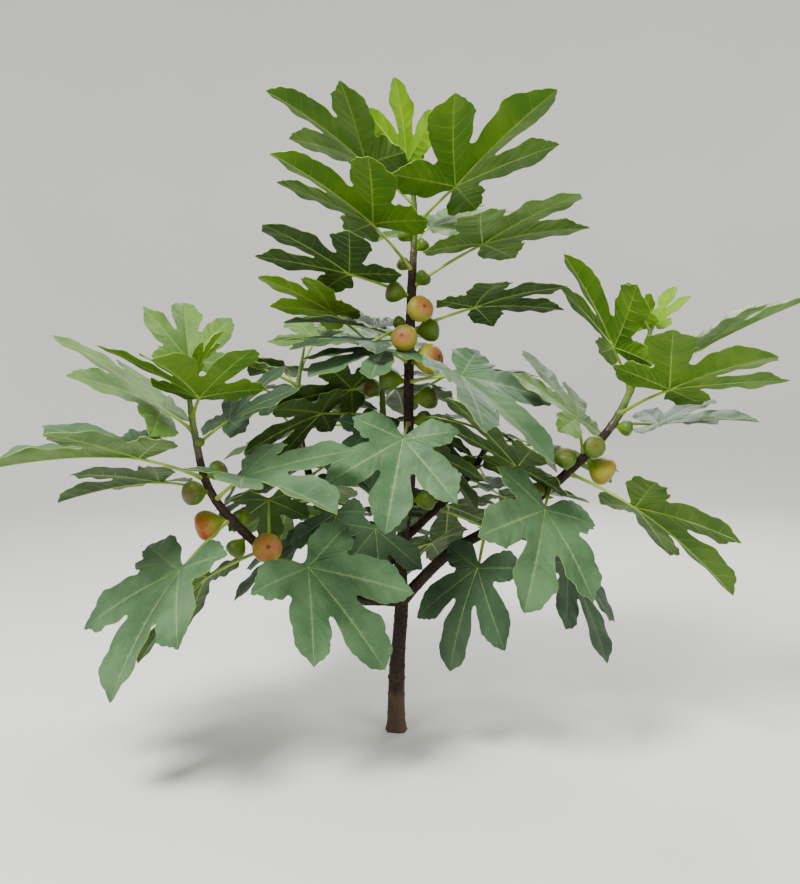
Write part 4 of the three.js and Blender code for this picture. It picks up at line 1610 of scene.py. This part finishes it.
@dataclass
class Wood:
    """The bark of one limb: a tube whose skin carries ridges, rings, pads and the flare at its foot.

    The ridges are how many run round the limb and how deep they are. Each wanders round the limb and
    fades in and out along it, over drawn lengths. The ridges, the rings and the pads are those of a
    limb of the full radius, and shrink with it.
    """

    name: str
    limb: Limb
    columns: int
    step: float = 2.4
    flare: float = 0.0
    collar: float = 0.0
    seed: int = 0
    upright: bool = False
    full_radius: float = 11
    ridges: tuple[tuple[int, float], ...] = ((2, 0.45), (3, 0.4), (7, 0.3), (11, 0.3), (17, 0.22))
    wander: Pair = (0.5, 1.2)
    wander_length: Pair = (24, 60)
    fade_length: Pair = (14, 36)
    tilt: float = 0.6
    ring: Pair = (0.95, 2.6)
    groove: Pair = (0.6, 1.1)
    groove_above: float = 3.4
    pad: float = 1.5
    pad_size: Pair = (3.4, 0.42)
    flare_height: float = 13
    collar_height: float = 17
    folds: int = 5
    fold_wander: float = 0.8
    first_scar: float = 34
    scar_step: float = 27
    scar_sizes: Pair = (0.6, 1.0)
    vary_scar: float = 7
    below_leaves: float = 16
    below_shoot: float = 4
    past_wood: float = 1.5
    ridge_shows: float = 0.16

    def scars(self) -> list[Scar]:
        """Returns the limb's scars: one at each station on its wood, and older ones below them."""
        draws = np.random.default_rng(self.seed)
        woody = self.limb.route.woody
        places = [station.at for station in STATIONS[self.name] if station.at < woody - self.below_shoot]
        first = places[0] if places else woody
        older = np.arange(self.first_scar, first - self.below_leaves, self.scar_step)
        older = older + draws.uniform(-self.vary_scar, self.vary_scar, len(older))
        both = [*older, *places]
        turns = draws.uniform(0, 2 * np.pi, len(both))
        sizes = draws.uniform(*self.scar_sizes, len(both))
        return [Scar(*scar) for scar in zip(both, turns, sizes)]

    def relief(self, along: Array, turns: Array) -> Array:
        """Works out how far the bark stands out from the limb's radius, in millimetres.

        It is the sum of wandering ridges that run along the limb, a swelling and a groove at each
        scar, the scar's pad, the folds of the root flare and the collar where a bough leaves.

        Args:
            along: distances along the limb, as a column.
            turns: angles round it, as a row.

        Returns:
            A row for each distance and a column for each angle.
        """
        draws = np.random.default_rng(self.seed + 1)
        radius = self.limb.radius(along)
        scale = radius / self.full_radius
        out = np.zeros(np.broadcast_shapes(along.shape, turns.shape))
        for count, depth in self.ridges:
            swing = draws.uniform(*self.wander)
            wander = swing * np.sin(along / draws.uniform(*self.wander_length) + phase(draws))
            fade = np.sin(along / draws.uniform(*self.fade_length) + phase(draws))
            strength = 0.65 + 0.35 * fade
            out += scale * depth * strength * np.cos(count * turns + phase(draws) + wander)
        for scar in self.scars():
            off = along - scar.at - self.tilt * np.cos(turns - scar.turn)
            ring = self.ring[0] * np.exp(-(off / self.ring[1]) ** 2)
            groove = self.groove[0] * np.exp(-((off - self.groove_above) / self.groove[1]) ** 2)
            out += scale * scar.size * (ring - groove)
            aside = np.angle(np.exp(1j * (turns - scar.turn)))
            tall, wide = self.pad_size
            pad = np.exp(-((along - scar.at + 2) / tall) ** 2 - (aside / wide) ** 2)
            out += scale * self.pad * scar.size * pad
        folded = np.cos(self.folds * turns + self.fold_wander * np.sin(2 * turns))
        folds = np.maximum(0, folded) ** 1.5
        out += self.flare * folds * np.exp(-along / self.flare_height)
        out += self.collar * np.exp(-(along / self.collar_height) ** 2)
        return out

    def piece(self, finish: Material, nodes: tuple[str, ...]) -> None:
        """Makes the limb's wood.

        Args:
            finish: the bark.
            nodes: the solid that it stands for.
        """
        woody = self.limb.route.woody + self.past_wood
        rows = int(woody / self.step)
        along = np.linspace(0, woody, rows)[:, None]
        turns = ring_turns(self.columns)[None, :]
        relief = self.relief(along, turns)
        radius = self.limb.radius(along) + relief
        middles = self.limb.points(along[:, 0])
        _, side, across = frames_along(middles, np.array([1.0, 0.2, 0]) if self.upright else None)
        rings = ring_spots(middles, side, across, radius, radius, turns)
        if self.upright:
            rings[0, :, 2] = 0
        spots = np.vstack([rings.reshape(-1, 3), middles[:1], middles[-1:]])
        ridge = np.clip(0.5 + relief / (self.ridge_shows * self.limb.radius(along)), 0, 1).ravel()
        piece = Piece(f"bark_{self.name}", "bark", nodes, (finish,), ("ridge",))
        piece.add(spots, ring_faces(rows, self.columns), 0, ridge=np.append(ridge, [0.5, 0.5]))
        piece.build(65)


@dataclass
class Shoot:
    """The soft green end of a limb, swollen where leaves join it and closed by a pointed bud.

    A swelling and the groove above it are each a share of the radius and a length along the limb.
    """

    name: str
    limb: Limb
    finish: Material
    bud: float = 11.0
    bud_steps: int = 11
    sides: int = 20
    step: float = 2.2
    into_wood: float = 1.5
    joints_below: float = 10
    swelling: Pair = (0.13, 3.0)
    groove: Pair = (0.06, 0.9)
    groove_above: float = 5.5
    foot: float = 60
    side_bud: float = 5.5
    side_bud_foot: float = 0.35
    side_bud_girth: float = 1.9
    side_bud_sides: int = 8
    above_stalk: float = 5
    beside_stalk: float = 8
    off_stalk: Pair = (42, 80)

    def build(self) -> None:
        """Makes the shoot, its end bud and a small bud in the crook of each leaf on it."""
        limb, woody = self.limb, self.limb.route.woody
        piece = Piece(f"shoot_{self.name}", "shoot", (f"crown_{self.name}",), (self.finish,), ("foot",))
        along = np.linspace(woody - self.into_wood, limb.length, int((limb.length - woody) / self.step))
        middles = limb.points(along)
        lowest = woody - self.joints_below
        joints = np.array([station.at for station in STATIONS[self.name] if station.at > lowest])
        past = along[:, None] - joints[None, :]
        swell = self.swelling[0] * np.exp(-(past / self.swelling[1]) ** 2).sum(axis=1)
        groove = self.groove[0] * np.exp(-((past - self.groove_above) / self.groove[1]) ** 2).sum(axis=1)
        radii = limb.radius(along) * (1 + swell - groove)
        way = unit(middles[-1:] - middles[-2:-1])
        share = np.linspace(0, 1, self.bud_steps + 1)[1:]
        tip = middles[-1] + share[:, None] * self.bud * way
        taper = radii[-1] * (1 + 0.5 * np.sin(np.pi * share) * (1 - share)) * (1 - share ** 1.7) + 0.12
        line, girth = np.vstack([middles, tip]), np.concatenate([radii, taper])
        spots, faces = tube(line, girth, girth, self.sides)
        places = np.repeat([*along, *along[-1:].repeat(self.bud_steps)], self.sides)
        fade = 1 - smooth_step(woody, woody + self.foot, places)
        piece.add(spots, faces, 0, foot=np.append(fade, [1, 0]))
        for station in STATIONS[self.name]:
            if station.leaf and station.at > woody:
                self._add_bud(station, piece)
        piece.build()

    def _add_bud(self, station: Station, piece: Piece) -> None:
        """Adds the small bud that sits above a leaf's stalk: a tube that tapers to a point.

        Args:
            station: where the leaf grows.
            piece: the shoot's piece.
        """
        leaf = station.leaf
        root = self.limb.point(station.at + self.above_stalk)
        way = direction(leaf.bearing + self.beside_stalk,
                        min(self.off_stalk[1], leaf.rise + self.off_stalk[0]))
        share = np.linspace(0, 1, 9)
        length = self.limb.radius(station.at) + self.side_bud
        line = root + share[:, None] * length * way
        girth = self.side_bud_girth * np.sqrt(np.maximum(0, 1 - share ** 2.2)) + 0.15
        spots, faces = tube(line, girth, girth, self.side_bud_sides)
        piece.add(spots, faces, 0, foot=np.full(len(spots), self.side_bud_foot))


# Inner leaves


@dataclass(frozen=True)
class Room:
    """A room in the shade of the crown, between its lowest and its highest corner."""

    low: Triple
    high: Triple

    def holds(self, spots: Array) -> bool:
        """Returns whether every spot lies in the room."""
        return bool(((spots > self.low) & (spots < self.high)).all())


@dataclass(frozen=True)
class Stretch:
    """The part of a limb that inner leaves grow from, as distances along it."""

    limb: str
    low: float
    high: float


@dataclass
class InnerLeaves:
    """The leaves inside the crown, painted with shade unless they stand high or far back, which the source's
    rule grows on from the same limbs.

    Places follow each other along a stretch, each a golden turn round from the last, and each tries a
    few leaves. A leaf that would leave its room, or come near a limb, a fig or a leaf, is skipped.
    """

    STALK_SPOTS = 12
    TUBE_SIDES = 10
    LIMB_SPOTS = 60
    RIM_STEP = 5
    NEAR_TIP = 0.9
    limbs: dict[str, Limb]
    rooms: tuple[Room, ...] = (
        Room((-330, -120, 440), (70, 390, 715)),
        Room((-330, -80, 215), (300, 390, 520)),
        Room((-120, -20, 560), (20, 300, 770)),
    )
    stretches: tuple[Stretch, ...] = (
        Stretch("back_left", 40, 400), Stretch("back", 20, 290), Stretch("back_right", 40, 300),
        Stretch("leader", 250, 700), Stretch("left", 40, 300), Stretch("right", 40, 260),
    )
    spacing: float = 11
    golden_turn: float = 137.5
    tries: int = 16
    clearance: float = 3
    rise: Pair = (-25, 50)
    stalk: Pair = (50, 105)
    blade: Pair = (100, 165)
    turn: Pair = (-40, 40)
    pitch: Pair = (-75, 0)
    roll: Pair = (-20, 20)
    cup: float = 0.1
    seed: int = 7
    first_seed: int = 700
    seed_step: int = 100
    taken: list[BVHTree] = field(default_factory=list)

    def grow(self, outer: list[Sprout]) -> dict[str, list[Sprout]]:
        """Chooses the leaves.

        Args:
            outer: the leaves of the stations.

        Returns:
            The inner leaves of each limb.
        """
        self._take_all(outer)
        draws = np.random.default_rng(self.seed)
        grown = {name: [] for name in self.limbs}
        for index, stretch in enumerate(self.stretches):
            for number, at in enumerate(np.arange(stretch.low, stretch.high, self.spacing)):
                bearing = (self.golden_turn * number + draws.uniform(0, 60)) % 360
                seed = self.first_seed + self.seed_step * index + number
                sprout = self._fitting(self.limbs[stretch.limb], float(at), bearing, seed, draws)
                if sprout:
                    grown[stretch.limb].append(sprout)
        log.info("inner leaves: %d", sum(len(sprouts) for sprouts in grown.values()))
        return grown

    def _fitting(self, limb: Limb, at: float, bearing: float, seed: int,
                 draws: np.random.Generator) -> Sprout | None:
        """Draws leaves for one place until one fits, and takes its space.

        Args:
            limb: the limb it grows from.
            at: the place along it.
            bearing: the stalk's bearing.
            seed: the seed of the leaf's stream of differences.
            draws: what its sizes are drawn from.

        Returns:
            The leaf, or None where none fits.
        """
        for _ in range(self.tries):
            sizes = [draws.uniform(*span) for span in (self.rise, self.stalk, self.blade, self.turn,
                                                       self.pitch, self.roll)]
            sprout = Sprout(limb, Station(at, Leaf(bearing, *sizes, self.cup)), seed, inside=True)
            if not self._housed(self._hub_and_tip(sprout)):
                continue
            middle = sprout.blade().middle()
            if not self._housed(middle):
                continue
            shape = self._shape(middle, Blade.GRID.skin)
            stalk = self._stalk_line(sprout)
            outside = np.linalg.norm(stalk - sprout.root, axis=1) > limb.radius(at) + self.clearance
            watched = [*middle[Blade.GRID.rim[::self.RIM_STEP, 0]].tolist(), *stalk[outside].tolist()]
            if any(shape.overlap(tree) for tree in self.taken) or self._crowded(watched):
                continue
            self._take_leaf(shape, stalk)
            return sprout
        return None

    @staticmethod
    def _hub_and_tip(sprout: Sprout) -> Array:
        """Returns the hub of a leaf and a place near the tip of its midrib, before any droop."""
        leaf, hub = sprout.station.leaf, sprout.hub
        reach = InnerLeaves.NEAR_TIP * leaf.blade
        return np.stack([hub, hub + reach * direction(leaf.bearing + leaf.turn, leaf.pitch)])

    def _housed(self, spots: Array) -> bool:
        """Returns whether one of the rooms holds every spot."""
        return any(room.holds(spots) for room in self.rooms)

    def _crowded(self, spots: list[list[float]]) -> bool:
        """Returns whether any of the spots is nearer than the clearance to what is there."""
        return any(tree.find_nearest(spot, self.clearance)[0] is not None
                   for tree in self.taken for spot in spots)

    @staticmethod
    def _stalk_line(sprout: Sprout) -> Array:
        """Returns points along a leaf's stalk: straight, raised by a low arch."""
        share = np.linspace(0, 1, InnerLeaves.STALK_SPOTS)[:, None]
        rise = 2 * share * (1 - share) * LeafMaker.arch * sprout.station.leaf.stalk
        return sprout.root + share * (sprout.hub - sprout.root) + rise * np.array([0, 0, 1.0])

    @staticmethod
    def _shape(spots: Array, faces: Array) -> BVHTree:
        """Returns a mesh as a tree that can tell what is near it."""
        return BVHTree.FromPolygons(spots.tolist(), faces.tolist())

    def _take_tube(self, line: Array, girth: Array) -> None:
        """Takes the space of a tube."""
        self.taken.append(self._shape(*tube(line, girth, girth, self.TUBE_SIDES)))

    def _take_leaf(self, shape: BVHTree, stalk: Array) -> None:
        """Takes the space of a leaf's blade and stalk."""
        self.taken.append(shape)
        self._take_tube(stalk, np.full(len(stalk), LeafMaker.stalk_end))

    def _take_all(self, outer: list[Sprout]) -> None:
        """Takes the space of every limb, leaf and fig of the stations."""
        for sprout in outer:
            shape = self._shape(sprout.blade().middle(), Blade.GRID.skin)
            self._take_leaf(shape, self._stalk_line(sprout))
        for name, limb in self.limbs.items():
            along = np.linspace(0, limb.length, self.LIMB_SPOTS)
            self._take_tube(limb.points(along), limb.radius(along) + 1)
            for station in STATIONS[name]:
                if station.fig:
                    way = direction(station.fig.bearing, station.fig.rise)
                    reach, high = np.array(FigMaker.PROFILE)[1:-1].T * station.fig.width
                    root = limb.point(station.at) + way * limb.radius(station.at)
                    self._take_tube(root + high[:, None] * way, reach)


# The whole plant


@dataclass
class Finishes:
    """Every finish of the plant, each made once."""

    blades: tuple[Material, ...]
    veins: tuple[Material, ...]
    stalks: tuple[Material, ...]
    shoot: Material
    bark: Material
    figs: dict[str, Material]

    @classmethod
    def make(cls) -> "Finishes":
        """Makes the shared effects and then every finish."""
        effects = Effects()
        # Each tint's upper side, then its lower. The sunlit tones are painted sunlight, paler above and
        # bright below as if the sun shone through, and the shaded tones are painted shade.
        sides = {
            Tint.YOUNG: (
                (Tone(98, 144, 0), Tone(128, 168, 6), Tone(160, 188, 40), 0.44, 0.02),
                (Tone(92, 138, 0), Tone(120, 162, 4), Tone(156, 184, 36), 0.5, 0.02)),
            Tint.SUNLIT: (
                (Tone(60, 98, 24), Tone(90, 128, 42), Tone(140, 168, 78), 0.48, 0.05),
                (Tone(58, 100, 0), Tone(84, 122, 2), Tone(128, 158, 38), 0.54, 0.02)),
            Tint.MATURE: (
                (Tone(50, 84, 48), Tone(80, 115, 72), Tone(138, 162, 106), 0.5, 0.06),
                (Tone(52, 88, 4), Tone(74, 110, 12), Tone(116, 144, 46), 0.56, 0.03)),
            Tint.SHADED: (
                (Tone(32, 58, 32), Tone(50, 78, 46), Tone(92, 120, 70), 0.5, 0.04),
                (Tone(32, 60, 6), Tone(50, 80, 12), Tone(92, 122, 40), 0.58, 0.03)),
        }
        blades = tuple(LeafFinish(f"leaf_{tint.value}_{side}", *looks).material(effects)
                       for tint in Tint for side, looks in zip(("upper", "lower"), sides[tint]))
        veins = (
            StemFinish("vein", Tone(116, 150, 36), Tone(144, 172, 60), Tone(124, 156, 44)),
            StemFinish("vein_young", Tone(160, 186, 44), Tone(184, 204, 70), Tone(160, 186, 44)),
        )
        stalk = StemFinish("stalk", Tone(118, 150, 34), Tone(150, 178, 60), Tone(104, 96, 40))
        shoot = StemFinish("shoot", Tone(64, 90, 22), Tone(92, 118, 36), Tone(56, 42, 26))
        bark = BarkFinish("bark", Tone(22, 14, 9), Tone(48, 34, 23), Tone(76, 61, 46),
                          Tone(116, 96, 74), 120)
        figs = {
            "fig_green": FigFinish("fig_green_skin", Tone(92, 122, 8), Tone(72, 100, 6),
                                   Tone(82, 48, 20), Tone(92, 62, 18), Tone(96, 48, 24)),
            "fig_ripe": FigFinish("fig_ripe_skin", Tone(98, 124, 10), Tone(136, 136, 34),
                                  Tone(150, 56, 10), Tone(164, 62, 48), Tone(116, 26, 22)),
        }
        return cls(blades, tuple(vein.material(effects) for vein in veins), (stalk.material(effects),),
                   shoot.material(effects), bark.material(effects),
                   {name: fig.material(effects) for name, fig in figs.items()})


@dataclass
class FigTree:
    """The plant: wood, then each limb's shoot and leaves, then the figs."""

    finishes: Finishes
    limbs: dict[str, Limb] = field(default_factory=lambda: {
        name: Limb(route) for name, route in ROUTES.items()})
    seed_step: int = 100

    def build(self) -> None:
        """Builds every piece of the plant."""
        outer = self._outer_leaves()
        inner = InnerLeaves(self.limbs).grow([sprout for sprouts in outer.values() for sprout in sprouts])
        for index, (name, limb) in enumerate(self.limbs.items()):
            self._wood(index, name, limb)
            Shoot(name, limb, self.finishes.shoot).build()
            leaves = LeafMaker.start(name, self.finishes)
            for sprout in (*outer[name], *inner[name]):
                leaves.grow(sprout)
            leaves.build()
        FigMaker(self.finishes).grow_all(self.limbs)

    def _outer_leaves(self) -> dict[str, list[Sprout]]:
        """Returns each limb's leaves from its stations, with the seeds that the solids' leaves have."""
        return {name: [Sprout(limb, station, self.seed_step * (index + 1) + number)
                       for number, station in enumerate(STATIONS[name]) if station.leaf]
                for index, (name, limb) in enumerate(self.limbs.items())}

    def _wood(self, index: int, name: str, limb: Limb) -> None:
        """Builds a limb's wood, the trunk with a finer skin and a flare."""
        if name == "leader":
            wood = Wood(name, limb, 64, flare=2.4, seed=11, upright=True)
            wood.piece(self.finishes.bark, ("trunk",))
        else:
            wood = Wood(name, limb, 40, collar=2.2, seed=20 + index)
            wood.piece(self.finishes.bark, (f"bough_{name}",))


# The studio


@dataclass(frozen=True)
class Lamp:
    """A soft square lamp: where it stands, its side and its power."""

    name: str
    place: Triple
    size: float
    watts: float

    def build(self, aim: Triple) -> None:
        """Makes the lamp.

        Args:
            aim: the point that it faces.
        """
        light = bpy.data.lights.new(self.name, "AREA")
        light.shape = "SQUARE"
        light.size = self.size
        light.energy = self.watts
        lamp = bpy.data.objects.new(self.name, light)
        lamp.location = self.place
        way = np.array(aim) - np.array(self.place)
        level = math.hypot(way[0], way[1])
        lamp.rotation_euler = (math.atan2(level, -way[2]), 0, math.atan2(-way[0], way[1]))
        bpy.context.scene.collection.objects.link(lamp)


@dataclass(frozen=True)
class Studio:
    """A pale round floor that curves up behind, soft lamps, an even sky and the camera."""

    floor_radius: float = 3.0
    curve_radius: float = 1.6
    wall_top: float = 4.0
    floor_sides: int = 96
    aim: Triple = (0, 0, 0.55)
    sky: Tone = Tone(244, 246, 250)
    sky_strength: float = 0.46
    lamps: tuple[Lamp, ...] = (
        Lamp("key", (-1.1, -1.4, 2.7), 0.9, 150),
        Lamp("fill", (1.9, -1.7, 1.0), 1.8, 22),
        Lamp("rim", (0.9, 2.0, 2.3), 1.2, 60),
    )
    eye: Triple = (0.006, -1.6, 0.588)
    look_down: float = 4.12
    lens: float = 40.72

    def build(self) -> None:
        """Builds the floor, the lamps, the sky and the camera."""
        self._floor()
        for lamp in self.lamps:
            lamp.build(self.aim)
        self._sky()
        self._camera()

    def _floor(self) -> None:
        """Builds the floor: a flat round that turns up through a quarter circle into a wall."""
        flat = np.linspace(0, self.floor_radius, 12)[1:]
        bend = np.linspace(0, np.pi / 2, 24)[1:]
        out = np.concatenate([flat, self.floor_radius + self.curve_radius * np.sin(bend),
                              [self.floor_radius + self.curve_radius]])
        high = np.concatenate([np.zeros(len(flat)), self.curve_radius * (1 - np.cos(bend)), [self.wall_top]])
        sides = self.floor_sides
        turns = ring_turns(sides)
        rings = np.stack([np.outer(out, np.cos(turns)), np.outer(out, np.sin(turns)),
                          np.repeat(high[:, None], sides, axis=1)], axis=-1).reshape(-1, 3)
        spots = np.vstack([rings, [[0, 0, 0]]])
        a, b = ring_cells(len(out), sides)
        quads = np.stack([a, a + sides, b + sides, b], axis=1)
        k = np.arange(sides)
        centre = np.stack([np.full(sides, len(rings)), k, (k + 1) % sides], axis=1)
        mesh = bpy.data.meshes.new("floor")
        mesh.from_pydata(spots.tolist(), [], [*quads.tolist(), *centre.tolist()])
        mesh.shade_smooth()
        material, graph = new_finish("floor_paper")
        place = graph.object_place()
        tone = graph.mix(graph.noise(place, 1.3), Tone(230, 229, 225).linear, Tone(238, 237, 233).linear)
        close_finish(graph, tone, graph.ramp(graph.noise(place, 4.0), 0.2, 0.8, 0.9, 0.8),
                     graph.noise(place, 900.0), 0.00005)
        mesh.materials.append(material)
        floor = bpy.data.objects.new("floor", mesh)
        bpy.context.scene.collection.objects.link(floor)
        floor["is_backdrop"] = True

    def _sky(self) -> None:
        """Makes the even pale light that comes from all round."""
        world = bpy.data.worlds.new("sky")
        world.use_nodes = True
        background = world.node_tree.nodes["Background"]
        background.inputs["Color"].default_value = self.sky.linear
        background.inputs["Strength"].default_value = self.sky_strength
        bpy.context.scene.world = world

    def _camera(self) -> None:
        """Places the camera where the photo was taken from."""
        camera = bpy.data.cameras.new("camera")
        camera.lens = self.lens
        eye = bpy.data.objects.new("camera", camera)
        eye.location = self.eye
        eye.rotation_euler = (math.radians(90 - self.look_down), 0, 0)
        bpy.context.scene.collection.objects.link(eye)
        bpy.context.scene.camera = eye


def save_sizes() -> None:
    """Works out the solids' box and the pieces' box as plain lists."""
    boxes = {"cad": CAD_BOX, "visual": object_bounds()}
    plain = {name: [list(corner) for corner in box] for name, box in boxes.items()}


def main() -> None:
    """Builds the plant and the studio round it."""
    logging.basicConfig(level=logging.INFO)
    FigTree(Finishes.make()).build()
    Studio().build()
    save_sizes()


if __name__ == "__main__":
    main()
